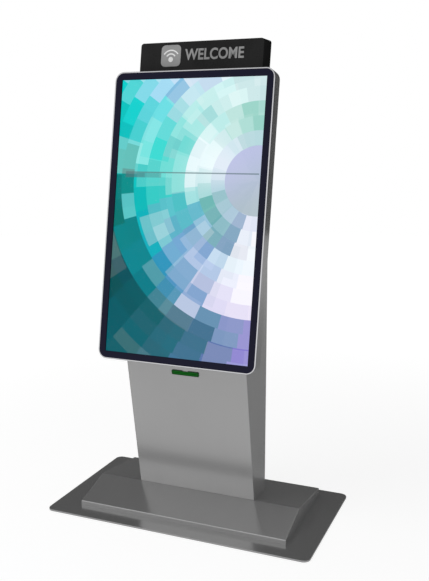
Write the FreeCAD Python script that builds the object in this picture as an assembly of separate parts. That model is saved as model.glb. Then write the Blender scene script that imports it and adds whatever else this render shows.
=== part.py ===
"""Free-standing touchscreen kiosk: base, column, tilted display, header, receipt printer.

Every separate piece is written to its own STEP file in parts/.
Frame: millimetres, +Z up, origin on the floor at the centre of the base plate, the screen faces -Y.
"""

import FreeCAD, Part
import math
import os

V = FreeCAD.Vector
X_AXIS = V(1, 0, 0)
Y_AXIS = V(0, 1, 0)
Z_AXIS = V(0, 0, 1)

# ---------------------------------------------------------------- driving dimensions
SHEET = 2.0                  # steel sheet of the column, covers and housings
FIT_GAP = 1.5                # gap round a door or a loose panel
RUNNING = 0.05               # radial clearance of a turning fit
TOUCH_FREE = 0.3             # smallest gap between pieces that move past each other

BASE_WIDTH = 985.0
BASE_DEPTH = 536.0
BASE_THICKNESS = 6.0
BASE_CORNER_R = 25.0
ANCHOR_SPACING_X = 640.0
ANCHOR_SPACING_Y = 300.0
ANCHOR_Y = 20.0
ANCHOR_R = 7.0
CABLE_ENTRY_R = 30.0
CABLE_ENTRY_Y = 25.0

COVER_WIDTH = 785.0
COVER_FRONT_Y = -190.4
COVER_REAR_Y = 221.9
COVER_LIP_Z = 22.0
COVER_RIDGE_Z = 67.5
COVER_REAR_Z = 34.0

COLUMN_WIDTH = 452.0
COLUMN_REAR_Y = 78.0
COLUMN_FRONT_Y = -38.5       # front edge at the height of the cover's ridge
COLUMN_LEAN_DEG = 10.26      # how far the lower front leans forward
RETURN_FLANGE = 22.0         # width of the rear jambs, the sheet of the side counted in
BEND_R = 3.0                 # outer radius of a bend in sheet
PLATE_CHAMFER = 1.0
SMALL_SCREW_R = 2.0
FOOT_FLANGE = 8.0
FOOT_BOLT_R = 4.0
LEAD_HOLE_H = 205.0          # height of the display's lead hole, up the glass
LEAD_HOLE_R = 20.0

SCREEN_TILT_DEG = 10.0
SCREEN_FOOT_Y = -218.3       # lower front edge of the glass
SCREEN_FOOT_Z = 587.4
ACTIVE_WIDTH = 523.0         # 42 inch panel on end
ACTIVE_HEIGHT = 930.0
GLASS_BORDER = 23.0
GLASS_CORNER_R = 28.0
GLASS_THICKNESS = 4.0
RIM_WIDTH = 4.0
RIM_DEPTH = 9.0
RIM_LEDGE = 8.0              # how far the rim reaches in behind the glass
RIM_WINDOW_R = 12.0
HOUSING_DEPTH = 49.0
LCD_THICKNESS = 12.0
LCD_CHASSIS_THICKNESS = 12.0
LCD_EDGE = 10.0              # frame of the panel outside its picture
GASKET_THICKNESS = 1.5
GASKET_WIDTH = 8.0
RAIL_DEPTH = 10.0
RAIL_WIDTH = 40.0
VESA_SPACING_X = 200.0
VESA_SPACING_H = 400.0

HEADER_WIDTH = 449.0
HEADER_RISE = 113.8          # above the top of the glass, along the tilt
HEADER_GAP = 2.5             # between the back of the display and the front of the header
HEADER_DEPTH = 75.0
HEADER_CORNER_R = 10.0
HEADER_FACE_THICKNESS = 3.0
CAP_THICKNESS = 2.0

DOOR_BOTTOM_Z = 150.0
DOOR_TOP_Z = 1000.0
DOOR_FOLD = 12.0
DOOR_SHEET = 1.5
PIVOT_INSET = 8.5            # door edge to pivot axis
PIVOT_R = 2.5
BUSH_R = 5.0
BRACKET_THICKNESS = 3.0
PIVOT_ROOM = 6.0             # the fixed panels step back round the pivots
PIN_LENGTH = 22.0
PIN_REACH = 5.0              # how far a pin stands past the door's opening

LOCK_X = 188.0
LOCK_Z = 575.0
LOCK_BARREL_R = 9.5
LOCK_FLANGE_R = 12.0
LOCK_PLUG_R = 6.0
LOCK_DEPTH = 22.0
CAM_LENGTH = 30.0
CAM_WIDTH = 14.0
CAM_THICKNESS = 3.0

FAN_SIZE = 80.0
FAN_DEPTH = 25.0
FAN_X = 95.0
FAN_Z = 1130.0
FAN_BORE_R = 37.5
ROTOR_R = 36.5
HUB_R = 17.0
SHAFT_R = 1.5
BLADES = 7

SHELF_Z = 250.0
PRINTER_SHELF_Z = 468.0
SHELF_REAR_Y = 60.0
SHELF_FLANGE = 24.0

SLOT_Z = 533.0
SLOT_WIDTH = 84.0
SLOT_HEIGHT = 6.0
BEZEL_WIDTH = 102.0
BEZEL_HEIGHT = 17.0
BEZEL_PROUD = 3.0
PAPER_WIDTH = 80.0
PAPER_ROLL_R = 40.0
PAPER_CORE_R = 9.0
SPINDLE_R = 6.0
ROLL_Y = 20.0
ROLL_Z = 516.0
PLATEN_R = 6.0
PLATEN_SHAFT_R = 2.5
GEAR_R = 15.5                # drive gear on the end of the platen shaft
GEAR_WIDTH = 6.5
GEAR_TEETH = 30
PLATEN_Y = -88.0
PRINTER_FRONT_Y = -104.0
PRINTER_REAR_Y = -30.0
PRINTER_HALF = 54.0
CHEEK = 6.0
LID_PIN_R = 2.0
LID_PIN_Y = -36.0

INLET_X = 150.0
SWITCH_X = 96.0
INLET_Z = 104.0
INLET_WIDTH = 27.0
INLET_HEIGHT = 19.5
ROCKER_WIDTH = 13.0
ROCKER_HEIGHT = 19.0
ROCKER_TILT_DEG = 8.0
LEAD_D = 6.0
SUPPLY_X0 = 20.0
SUPPLY_X1 = 130.0
SHELF_HOLE_X = 204.0

# ---------------------------------------------------------------- derived places
SLOPE = math.tan(math.radians(COLUMN_LEAN_DEG))
TILT = math.radians(SCREEN_TILT_DEG)
GLASS_WIDTH = ACTIVE_WIDTH + 2 * GLASS_BORDER
GLASS_HEIGHT = ACTIVE_HEIGHT + 2 * GLASS_BORDER
RIM_OUT = GLASS_WIDTH / 2 + RIM_WIDTH
RIM_R = GLASS_CORNER_R + RIM_WIDTH
HALF_COLUMN = COLUMN_WIDTH / 2
HALF_OPEN = HALF_COLUMN - RETURN_FLANGE
INNER_X = HALF_COLUMN - SHEET
SKIN_Y = COLUMN_REAR_Y - SHEET
COLUMN_SETBACK = HOUSING_DEPTH + RAIL_DEPTH
HEADER_SETBACK = HOUSING_DEPTH + HEADER_GAP
HEADER_FOOT = GLASS_HEIGHT - SHEET
COLUMN_TOP = HEADER_FOOT - CAP_THICKNESS
DOOR_HALF = HALF_OPEN - FIT_GAP
PIVOT_X = -DOOR_HALF + PIVOT_INSET
PIVOT_Y = SKIN_Y - PIVOT_R - 0.5
LCD_BACK = GLASS_THICKNESS + GASKET_THICKNESS + LCD_THICKNESS
CHASSIS_BACK = LCD_BACK + LCD_CHASSIS_THICKNESS
HOUSING_BACK = HOUSING_DEPTH - SHEET
SHELF_TOP = SHELF_Z + SHEET
PRINTER_FOOT = PRINTER_SHELF_Z + SHEET
PLATEN_Z = SLOT_Z + PLATEN_R + TOUCH_FREE
CHEEK_TOP = PLATEN_Z + 16.7
LID_PIN_Z = CHEEK_TOP - 4.0
LOCK_BACK_Y = COLUMN_REAR_Y - LOCK_DEPTH
FAN_BACK_Y = SKIN_Y - FAN_DEPTH
VESA_H = GLASS_HEIGHT / 2
INLET_BACK_Y = COLUMN_REAR_Y - 30.0


# ---------------------------------------------------------------- helpers
def box(x0, x1, y0, y1, z0, z1):
    """Box between two opposite corners."""
    return Part.makeBox(x1 - x0, y1 - y0, z1 - z0, V(x0, y0, z0))


def rod(centre, axis, radius, length):
    """Cylinder that starts at centre and runs along axis."""
    return Part.makeCylinder(radius, length, V(*centre), axis)


def prism_x(points, x0, x1):
    """Solid between x0 and x1 whose outline is given as (y, z) points."""
    corners = [V(x0, y, z) for y, z in points]
    face = Part.Face(Part.makePolygon(corners + corners[:1]))
    return face.extrude(V(x1 - x0, 0, 0))


def prism_y(points, y0, y1):
    """Solid between y0 and y1 whose outline is given as (x, z) points."""
    corners = [V(x, y0, z) for x, z in points]
    face = Part.Face(Part.makePolygon(corners + corners[:1]))
    return face.extrude(V(0, y1 - y0, 0))


def slab(half_width, z0, z1, y0, y1, corner_r):
    """Upright plate, centred on x = 0, with rounded corners seen from the front."""
    plate = box(-half_width, half_width, y0, y1, z0, z1)
    edges = [e for e in plate.Edges if abs(e.tangentAt(e.FirstParameter).y) > 0.9]
    return plate.makeFillet(corner_r, edges)


def fuse(first, *others):
    """Join solids into one clean solid."""
    return first.multiFuse(list(others)).removeSplitter()


def cut(body, *tools):
    """Cut every tool out of the body."""
    return body.cut(Part.Compound(list(tools)))


def is_upright(edge):
    """Whether an edge runs straight up."""
    return abs(edge.tangentAt(edge.FirstParameter).z) > 0.9999


def mirrored_x(shape):
    """Copy on the other side of the middle plane."""
    return shape.mirror(V(0, 0, 0), X_AXIS)


def pair(shape):
    """The shape and its mirror image, as two separate solids."""
    return Part.Compound([shape, mirrored_x(shape)])


def tilted(shape):
    """Place a shape from the screen's own frame, where z runs up the glass and y goes back from it."""
    placed = shape.copy()
    placed.rotate(V(0, 0, 0), X_AXIS, -SCREEN_TILT_DEG)
    placed.translate(V(0, SCREEN_FOOT_Y, SCREEN_FOOT_Z))
    return placed


def on_screen(depth, height):
    """(y, z) of a point at a depth behind the glass and a height up it."""
    y = SCREEN_FOOT_Y + depth * math.cos(TILT) + height * math.sin(TILT)
    z = SCREEN_FOOT_Z - depth * math.sin(TILT) + height * math.cos(TILT)
    return y, z


def front_y(z):
    """Outer face of the column's leaning lower front at a height."""
    return COLUMN_FRONT_Y - (z - COVER_RIDGE_Z) * SLOPE


def crease(offset):
    """(y, z) where the lower front meets the part behind the display, moved in by offset."""
    y0, z0 = on_screen(COLUMN_SETBACK + offset, 0)
    lean = offset / math.cos(math.radians(COLUMN_LEAN_DEG))
    gap = y0 - front_y(z0) - lean
    z = z0 - gap / (SLOPE + math.tan(TILT))
    return front_y(z) + lean, z


def bolt(centre, axis, shank_r, shank_length, head_r, head_height):
    """Round-headed bolt: the head stands on centre, the shank goes back along -axis."""
    start = V(*centre) - axis * shank_length
    head = Part.makeCylinder(head_r, head_height, V(*centre), axis)
    socket = Part.makeCylinder(shank_r * 0.6, head_height * 0.6, V(*centre) + axis * (head_height * 0.4), axis)
    shank = Part.makeCylinder(shank_r, shank_length, start, axis)
    return fuse(head, shank).cut(socket)


def lead(points, diameter):
    """Round lead along straight runs joined by tangent arcs."""
    corners = [V(*p) for p in points]
    edges = []
    start = corners[0]
    for before, corner, after in zip(corners, corners[1:], corners[2:]):
        into = (corner - before).normalize()
        out = (after - corner).normalize()
        half_turn = into.getAngle(out) / 2
        trim = 0.45 * min((corner - before).Length, (after - corner).Length)
        first = corner - into * trim
        last = corner + out * trim
        inward = (out - into).normalize()
        radius = trim / math.tan(half_turn)
        print("lead bend radius %.1f mm" % radius)
        middle = corner + inward * (radius / math.cos(half_turn) - radius)
        edges.append(Part.LineSegment(start, first).toShape())
        edges.append(Part.Arc(first, middle, last).toShape())
        start = last
    edges.append(Part.LineSegment(start, corners[-1]).toShape())
    path = Part.Wire(edges)
    along = (corners[1] - corners[0]).normalize()
    section = Part.Wire(Part.makeCircle(diameter / 2, corners[0], along))
    tube = path.makePipeShell([section], True, True)
    print("lead volume ratio %.4f" % (tube.Volume / (math.pi * diameter ** 2 / 4 * path.Length)))
    return tube


# ---------------------------------------------------------------- base
COVER_SCREW_X = (-300.0, -110.0, 110.0, 300.0)
COVER_SCREW_Z = 20.0
FOOT_BOLT_SPOTS = [(x, y) for x in (-190.0, -100.0, 100.0, 190.0) for y in (-8.0, 58.0)]


def base_plate():
    """Heavy steel floor plate with anchor holes, cable entry and tapped holes for the column."""
    plate = box(-BASE_WIDTH / 2, BASE_WIDTH / 2, -BASE_DEPTH / 2, BASE_DEPTH / 2, 0, BASE_THICKNESS)
    corners = [e for e in plate.Edges if abs(e.tangentAt(e.FirstParameter).z) > 0.9]
    plate = plate.makeFillet(BASE_CORNER_R, corners)
    rim = [e for e in plate.Edges if abs(e.CenterOfMass.z - BASE_THICKNESS) < 1e-6]
    plate = plate.makeChamfer(PLATE_CHAMFER, rim)
    holes = [rod((0, CABLE_ENTRY_Y, 0), Z_AXIS, CABLE_ENTRY_R, BASE_THICKNESS)]
    for x in (-ANCHOR_SPACING_X / 2, ANCHOR_SPACING_X / 2):
        for y in (ANCHOR_Y - ANCHOR_SPACING_Y / 2, ANCHOR_Y + ANCHOR_SPACING_Y / 2):
            holes.append(rod((x, y, 0), Z_AXIS, ANCHOR_R, BASE_THICKNESS))
    for x, y in FOOT_BOLT_SPOTS:
        holes.append(rod((x, y, 0), Z_AXIS, FOOT_BOLT_R, BASE_THICKNESS))
    return cut(plate, *holes)


def cover_outline(inset):
    """(y, z) outline of the sloped base cover, moved in by inset on every wall."""
    front_slope = math.atan2(COVER_RIDGE_Z - COVER_LIP_Z, COLUMN_FRONT_Y - COVER_FRONT_Y)
    rear_slope = math.atan2(COVER_RIDGE_Z - COVER_REAR_Z, COVER_REAR_Y - COLUMN_FRONT_Y)
    front = COVER_FRONT_Y + inset
    rear = COVER_REAR_Y - inset
    front_top = COVER_LIP_Z + inset * math.tan(front_slope) - inset / math.cos(front_slope)
    rear_top = COVER_REAR_Z + inset * math.tan(rear_slope) - inset / math.cos(rear_slope)
    ridge_y = (rear_top - front_top + front * math.tan(front_slope) + rear * math.tan(rear_slope))
    ridge_y = ridge_y / (math.tan(front_slope) + math.tan(rear_slope))
    ridge_z = front_top + (ridge_y - front) * math.tan(front_slope)
    foot = BASE_THICKNESS
    return [(front, foot), (front, front_top), (ridge_y, ridge_z), (rear, rear_top), (rear, foot)]


def base_cover():
    """Folded cover round the foot of the column, open below, before it is parted at the ridge."""
    outer = prism_x(cover_outline(0), -COVER_WIDTH / 2, COVER_WIDTH / 2)
    bends = [e for e in outer.Edges if e.CenterOfMass.z > BASE_THICKNESS + 1 and not is_upright(e)]
    outer = outer.makeFillet(BEND_R, bends)
    inner = prism_x(cover_outline(SHEET), -COVER_WIDTH / 2 + SHEET, COVER_WIDTH / 2 - SHEET)
    gap = HALF_COLUMN + TOUCH_FREE
    hole = box(-gap, gap, COLUMN_FRONT_Y - TOUCH_FREE, COLUMN_REAR_Y + TOUCH_FREE, 0, COVER_RIDGE_Z + 10)
    screws = [rod((x, COVER_REAR_Y - 10, COVER_SCREW_Z), Y_AXIS, SMALL_SCREW_R, 20) for x in COVER_SCREW_X]
    return cut(outer, inner, hole, *screws)


def cover_half(front):
    """One of the two halves of the base cover, parted just in front of the ridge."""
    seam = COLUMN_FRONT_Y - TOUCH_FREE
    wide = COVER_WIDTH / 2 + 10
    if front:
        return base_cover().cut(box(-wide, wide, seam - TOUCH_FREE, COVER_REAR_Y + 10, -1, 100))
    return base_cover().cut(box(-wide, wide, COVER_FRONT_Y - 10, seam, -1, 100))


# ---------------------------------------------------------------- column
def column_outline(offset, low, high):
    """(y, z) outline of the column; offset moves the front in, low and high trim its ends."""
    lean = offset / math.cos(math.radians(COLUMN_LEAN_DEG))
    top_front = on_screen(COLUMN_SETBACK + offset, high)
    depth = (COLUMN_REAR_Y - SCREEN_FOOT_Y - high * math.sin(TILT)) / math.cos(TILT)
    top_rear = on_screen(depth, high)
    return [(front_y(low) + lean, low), crease(offset), top_front, top_rear, (COLUMN_REAR_Y, low)]


def column_foot():
    """Welded foot frame inside the bottom of the column, bolted to the base plate."""
    front = front_y(BASE_THICKNESS) + SHEET + 1.0
    rear = SKIN_Y - SHEET
    top = BASE_THICKNESS + FOOT_FLANGE
    flange = box(-INNER_X, INNER_X, front, rear, BASE_THICKNESS, top)
    reach = CABLE_ENTRY_R + 2
    window = box(-2 * reach, 2 * reach, CABLE_ENTRY_Y - reach, CABLE_ENTRY_Y + reach, 0, 30)
    side = box(INNER_X - 5, INNER_X, front + 4, rear, top, top + 52)
    holes = [rod((x, y, 0), Z_AXIS, FOOT_BOLT_R, 30) for x, y in FOOT_BOLT_SPOTS]
    return cut(fuse(flange, side, mirrored_x(side)), window, *holes)


def foot_bolts():
    """Bolts that hold the column's foot to the base plate."""
    top = BASE_THICKNESS + FOOT_FLANGE
    length = top - 1.0
    return Part.Compound([bolt((x, y, top), Z_AXIS, FOOT_BOLT_R, length, 6.5, 5.0) for x, y in FOOT_BOLT_SPOTS])


def vesa_spots():
    """(x, height) of the four display bolts in the screen's frame."""
    return [(x, VESA_H + h) for x in (-VESA_SPACING_X / 2, VESA_SPACING_X / 2)
            for h in (-VESA_SPACING_H / 2, VESA_SPACING_H / 2)]


def is_front_bend(edge):
    """Whether an edge of the plain column is one of the folds of its front."""
    top = on_screen(COLUMN_SETBACK, COLUMN_TOP)
    middle = edge.CenterOfMass
    if abs(middle.x) > HALF_COLUMN - 1:
        return middle.y < COLUMN_REAR_Y - 1 and middle.z > BASE_THICKNESS + 1 and middle.z < top[1] - 20
    return abs(middle.z - crease(0)[1]) < 1


def column_shell():
    """Folded sheet column: front and two sides, open behind, above and below."""
    outer = prism_x(column_outline(0, BASE_THICKNESS, COLUMN_TOP), -HALF_COLUMN, HALF_COLUMN)
    outer = outer.makeFillet(BEND_R, [e for e in outer.Edges if is_front_bend(e)])
    points = column_outline(SHEET, BASE_THICKNESS - 1, COLUMN_TOP + 1)
    inner = prism_x([(y + 5 if y > SKIN_Y else y, z) for y, z in points], -INNER_X, INNER_X)
    top = above_column()
    slot_y = front_y(SLOT_Z)
    half = SLOT_WIDTH / 2 + SHEET
    slot = box(-half, half, slot_y - 20, slot_y + 20, SLOT_Z - SLOT_HEIGHT / 2 - SHEET,
               SLOT_Z + SLOT_HEIGHT / 2 + SHEET)
    holes = [rod((x, COLUMN_SETBACK - 5, h), Y_AXIS, 3.2, 20) for x, h in vesa_spots()]
    holes.append(rod((0, COLUMN_SETBACK - 5, LEAD_HOLE_H), Y_AXIS, LEAD_HOLE_R, 20))
    shell = cut(outer, inner, top, slot)
    return cut(shell, *[tilted(h) for h in holes])


def above_column():
    """Everything above the column's sloping top, to trim pieces with."""
    return tilted(box(-HALF_COLUMN - 1, HALF_COLUMN + 1, 0, 300, COLUMN_TOP, COLUMN_TOP + 300))


def rear_jambs():
    """Two flat strips welded between the column's sides, which frame its rear opening."""
    high = on_screen(0, COLUMN_TOP)[1] + 50
    strips = [box(x0, x1, SKIN_Y, COLUMN_REAR_Y, BASE_THICKNESS, high)
              for x0, x1 in ((-INNER_X, -HALF_OPEN), (HALF_OPEN, INNER_X))]
    return Part.Compound([cut(strip, above_column(), *screw_holes()) for strip in strips])


def column_top_cap():
    """Plate that closes the top of the column under the header."""
    rear = (COLUMN_REAR_Y - SCREEN_FOOT_Y - HEADER_FOOT * math.sin(TILT)) / math.cos(TILT)
    plate = box(-HALF_COLUMN, HALF_COLUMN, COLUMN_SETBACK, rear, COLUMN_TOP, HEADER_FOOT)
    hole = rod((0, COLUMN_SETBACK + 35, COLUMN_TOP - 1), Z_AXIS, 12.0, 10)
    return tilted(plate.cut(hole))


def rear_panel(z0, z1, face_z0, face_z1):
    """Fixed rear panel, flush with the column and stepped in behind the rear jambs."""
    wings = box(-INNER_X + TOUCH_FREE, INNER_X - TOUCH_FREE, SKIN_Y - SHEET, SKIN_Y, z0, z1)
    face_half = HALF_OPEN - TOUCH_FREE
    face = box(-face_half, face_half, SKIN_Y, COLUMN_REAR_Y, face_z0, face_z1)
    pocket = box(-face_half + SHEET, face_half - SHEET, SKIN_Y - SHEET, SKIN_Y, z0 + 10, z1 - 10)
    return fuse(wings, face).cut(pocket)


def vent_slots(x, z, count, width):
    """A stack of horizontal slots through the rear skin, centred on (x, z)."""
    slots = []
    for row in range(count):
        middle = z + (row - (count - 1) / 2) * 10.0
        slots.append(box(x - width / 2, x + width / 2, SKIN_Y - 5, COLUMN_REAR_Y + 5, middle - 2.2, middle + 2.2))
    return slots


PANEL_SCREW_Z = (DOOR_BOTTOM_Z - 110, DOOR_BOTTOM_Z - 25, DOOR_TOP_Z + 45, DOOR_TOP_Z + 250, DOOR_TOP_Z + 480)
PANEL_SCREW_X = HALF_COLUMN - RETURN_FLANGE / 2
PANEL_SCREW_SPOTS = [(x, z) for x in (-PANEL_SCREW_X, PANEL_SCREW_X) for z in PANEL_SCREW_Z]


def screw_holes():
    """Holes for the panel screws through jambs and panels."""
    return [rod((x, SKIN_Y - SHEET - 1, z), Y_AXIS, SMALL_SCREW_R, 10) for x, z in PANEL_SCREW_SPOTS]


def lower_rear_panel():
    """Fixed panel below the door with the mains inlet and the switch."""
    foot = BASE_THICKNESS + FOOT_FLANGE + 2
    panel = rear_panel(foot, DOOR_BOTTOM_Z - PIVOT_ROOM, foot, DOOR_BOTTOM_Z)
    cable = box(INLET_X - INLET_WIDTH / 2, INLET_X + INLET_WIDTH / 2, 60, 90,
                INLET_Z - INLET_HEIGHT / 2, INLET_Z + INLET_HEIGHT / 2)
    switch = box(SWITCH_X - 8, SWITCH_X + 8, 60, 90, INLET_Z - 11.5, INLET_Z + 11.5)
    return cut(panel, cable, switch, *screw_holes())


def upper_rear_panel():
    """Fixed panel above the door with the fan vents."""
    top = on_screen(0, COLUMN_TOP)[1] - 28.0
    panel = rear_panel(DOOR_TOP_Z + PIVOT_ROOM, top, DOOR_TOP_Z, top)
    slots = vent_slots(-FAN_X, FAN_Z, 7, 62.0) + vent_slots(FAN_X, FAN_Z, 7, 62.0)
    slots += vent_slots(0.0, 1400.0, 5, 180.0)
    return cut(panel, *(slots + screw_holes() + fan_screw_holes()))


def case_screws():
    """Button-head screws of the two fixed rear panels and of the cover's rear lip."""
    spots = [(x, COLUMN_REAR_Y, z) for x, z in PANEL_SCREW_SPOTS]
    spots += [(x, COVER_REAR_Y, COVER_SCREW_Z) for x in COVER_SCREW_X]
    return Part.Compound([bolt(spot, Y_AXIS, SMALL_SCREW_R, 2 * SHEET, 4.0, 2.0) for spot in spots])


def shelf(z, lead_hole):
    """Sheet shelf with side flanges, fixed to the sides of the column."""
    front = front_y(z - SHELF_FLANGE) + SHEET + 1.0
    plate = box(-INNER_X, INNER_X, front, SHELF_REAR_Y, z, z + SHEET)
    flange = box(INNER_X - SHEET, INNER_X, front, SHELF_REAR_Y, z - SHELF_FLANGE, z)
    holes = [rod((x, y, z - 1), Z_AXIS, 12.0, 5) for x, y in lead_hole]
    for x in (-INNER_X, INNER_X - SHEET):
        for y in SHELF_SCREW_Y:
            holes.append(rod((x - 1, y, z - SHELF_FLANGE / 2), X_AXIS, SMALL_SCREW_R, SHEET + 2))
    return cut(fuse(plate, flange, mirrored_x(flange)), *holes)


SHELF_SCREW_Y = (-35.0, 35.0)


def shelf_screws():
    """Screws through the shelf flanges."""
    screws = []
    for z in (SHELF_Z - SHELF_FLANGE / 2, PRINTER_SHELF_Z - SHELF_FLANGE / 2):
        for y in SHELF_SCREW_Y:
            one = bolt((INNER_X - SHEET, y, z), -X_AXIS, SMALL_SCREW_R, SHEET, 4.0, 2.0)
            screws += [one, mirrored_x(one)]
    return Part.Compound(screws)


# ---------------------------------------------------------------- rear door and lock
def rear_door():
    """Folded steel door pan, flush with the back of the column."""
    z0 = DOOR_BOTTOM_Z + FIT_GAP
    z1 = DOOR_TOP_Z - FIT_GAP
    pan = box(-DOOR_HALF, DOOR_HALF, COLUMN_REAR_Y - DOOR_FOLD, COLUMN_REAR_Y, z0, z1)
    pan = pan.cut(box(-DOOR_HALF + DOOR_SHEET, DOOR_HALF - DOOR_SHEET, COLUMN_REAR_Y - DOOR_FOLD, SKIN_Y,
                      z0 + DOOR_SHEET, z1 - DOOR_SHEET))
    pin_holes = rod((PIVOT_X, PIVOT_Y, z0 - 1), Z_AXIS, PIVOT_R, z1 - z0 + 2)
    lock = rod((LOCK_X, 60, LOCK_Z), Y_AXIS, LOCK_BARREL_R, 30)
    slots = vent_slots(0.0, 230.0, 6, 180.0) + vent_slots(0.0, 900.0, 6, 180.0)
    return cut(pan, pin_holes, lock, *slots)


def door_pivot_pins():
    """Upper and lower pivot pins, fixed in the folds of the door."""
    low = rod((PIVOT_X, PIVOT_Y, DOOR_BOTTOM_Z - PIN_REACH), Z_AXIS, PIVOT_R, PIN_LENGTH)
    high = rod((PIVOT_X, PIVOT_Y, DOOR_TOP_Z + PIN_REACH - PIN_LENGTH), Z_AXIS, PIVOT_R, PIN_LENGTH)
    return Part.Compound([low, high])


def pivot_bracket(z, upward):
    """Angle on the column's side wall that holds one pivot bush; z is its face towards the door."""
    far = z + BRACKET_THICKNESS * upward
    tab = far + 20.0 * upward
    rear = SKIN_Y - SHEET
    plate = box(-INNER_X, PIVOT_X + 9, 56, rear, min(z, far), max(z, far))
    ear = rod((PIVOT_X, PIVOT_Y - 4.0, min(z, far)), Z_AXIS, 9.0, BRACKET_THICKNESS)
    ear = ear.cut(box(-INNER_X, 0, rear, 100, 0, 2000))
    side = box(-INNER_X, -INNER_X + SHEET, 56, rear, min(far, tab), max(far, tab))
    hole = rod((PIVOT_X, PIVOT_Y, min(z, far) - 1), Z_AXIS, BUSH_R, BRACKET_THICKNESS + 2)
    return fuse(plate, ear, side).cut(hole)


def pivot_brackets():
    """Upper and lower pivot brackets."""
    return Part.Compound([pivot_bracket(DOOR_TOP_Z, 1), pivot_bracket(DOOR_BOTTOM_Z, -1)])


def pivot_bushes():
    """Plain nylon bushes in the pivot brackets."""
    bushes = []
    for z in (DOOR_BOTTOM_Z - BRACKET_THICKNESS, DOOR_TOP_Z):
        ring = rod((PIVOT_X, PIVOT_Y, z), Z_AXIS, BUSH_R, BRACKET_THICKNESS)
        ring = ring.cut(box(PIVOT_X - 9, PIVOT_X + 9, SKIN_Y - TOUCH_FREE, COLUMN_REAR_Y, z - 1, z + 10))
        bushes.append(ring.cut(rod((PIVOT_X, PIVOT_Y, z - 1), Z_AXIS, PIVOT_R + RUNNING, 10)))
    return Part.Compound(bushes)


def lock_body():
    """Housing of the cam lock, fixed in the door."""
    barrel = rod((LOCK_X, LOCK_BACK_Y, LOCK_Z), Y_AXIS, LOCK_BARREL_R, LOCK_DEPTH)
    flange = rod((LOCK_X, COLUMN_REAR_Y, LOCK_Z), Y_AXIS, LOCK_FLANGE_R, 2.0)
    nut = rod((LOCK_X, SKIN_Y - 4, LOCK_Z), Y_AXIS, LOCK_FLANGE_R + 1, 4.0)
    bore = rod((LOCK_X, LOCK_BACK_Y - 1, LOCK_Z), Y_AXIS, LOCK_PLUG_R + RUNNING, LOCK_DEPTH + 5)
    return fuse(barrel, flange, nut).cut(bore)


def lock_plug():
    """Turning plug of the lock with its key slot."""
    plug = rod((LOCK_X, LOCK_BACK_Y - TOUCH_FREE - CAM_THICKNESS, LOCK_Z), Y_AXIS, LOCK_PLUG_R,
               LOCK_DEPTH + 2.0 + TOUCH_FREE + CAM_THICKNESS)
    key = box(LOCK_X - 0.8, LOCK_X + 0.8, COLUMN_REAR_Y - 14, COLUMN_REAR_Y + 5, LOCK_Z - 3.8, LOCK_Z + 3.8)
    seat = rod((LOCK_X, LOCK_BACK_Y - 10, LOCK_Z), Y_AXIS, LOCK_PLUG_R + 1, 10 - TOUCH_FREE)
    stem = rod((LOCK_X, LOCK_BACK_Y - TOUCH_FREE - CAM_THICKNESS, LOCK_Z), Y_AXIS, 4.0, CAM_THICKNESS)
    return fuse(plug.cut(seat), stem).cut(key)


def lock_cam():
    """Cam on the plug; it points up when the door is unlocked."""
    back = LOCK_BACK_Y - TOUCH_FREE - CAM_THICKNESS
    arm = box(LOCK_X - CAM_WIDTH / 2, LOCK_X + CAM_WIDTH / 2, back, back + CAM_THICKNESS, LOCK_Z, LOCK_Z + CAM_LENGTH)
    eye = rod((LOCK_X, back, LOCK_Z), Y_AXIS, CAM_WIDTH / 2, CAM_THICKNESS)
    tip = [e for e in arm.Edges if abs(e.tangentAt(e.FirstParameter).y) > 0.9 and e.CenterOfMass.z > LOCK_Z + 1]
    arm = arm.makeFillet(CAM_WIDTH / 3, tip)
    return fuse(arm, eye).cut(rod((LOCK_X, back - 1, LOCK_Z), Y_AXIS, 4.0, 10))


def lock_keeper():
    """Angle inside the column that the turned cam catches behind."""
    front = LOCK_BACK_Y
    web = box(INNER_X - SHEET, INNER_X, front, SKIN_Y, LOCK_Z - 20, LOCK_Z + 20)
    lip = box(HALF_OPEN + 2, INNER_X - SHEET, front, front + SHEET, LOCK_Z - 20, LOCK_Z + 20)
    return fuse(web, lip)


# ---------------------------------------------------------------- fans
def fan_screw_holes():
    """Holes in the rear panel for the fan screws."""
    return [rod((x, SKIN_Y - 5, z), Y_AXIS, 2.0, 20) for x, z in fan_screw_spots()]


def fan_screw_spots():
    """(x, z) of the eight fan screws."""
    return [(side * FAN_X + dx, FAN_Z + dz) for side in (-1, 1) for dx in (-35.75, 35.75) for dz in (-35.75, 35.75)]


def fan_frame(x):
    """Square fan frame with a round duct, a motor cup on four arms and a shaft bearing."""
    half = FAN_SIZE / 2
    block = box(x - half, x + half, FAN_BACK_Y, SKIN_Y, FAN_Z - half, FAN_Z + half)
    edges = [e for e in block.Edges if abs(e.tangentAt(e.FirstParameter).y) > 0.9]
    block = block.makeFillet(5.0, edges)
    duct = rod((x, FAN_BACK_Y - 1, FAN_Z), Y_AXIS, FAN_BORE_R, FAN_DEPTH + 2)
    holes = [rod((sx, FAN_BACK_Y - 1, sz), Y_AXIS, 2.0, FAN_DEPTH + 2) for sx, sz in fan_screw_spots()]
    cup = rod((x, FAN_BACK_Y, FAN_Z), Y_AXIS, HUB_R, 3.0)
    across = box(x - FAN_BORE_R - 1, x + FAN_BORE_R + 1, FAN_BACK_Y, FAN_BACK_Y + 3, FAN_Z - 2.5, FAN_Z + 2.5)
    upright = box(x - 2.5, x + 2.5, FAN_BACK_Y, FAN_BACK_Y + 3, FAN_Z - FAN_BORE_R - 1, FAN_Z + FAN_BORE_R + 1)
    bearing = rod((x, FAN_BACK_Y + 3, FAN_Z), Y_AXIS, 4.0, 8.0)
    bore = rod((x, FAN_BACK_Y - 1, FAN_Z), Y_AXIS, SHAFT_R + RUNNING, 20)
    return cut(fuse(cut(block, duct, *holes), cup, across, upright, bearing), bore)


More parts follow.
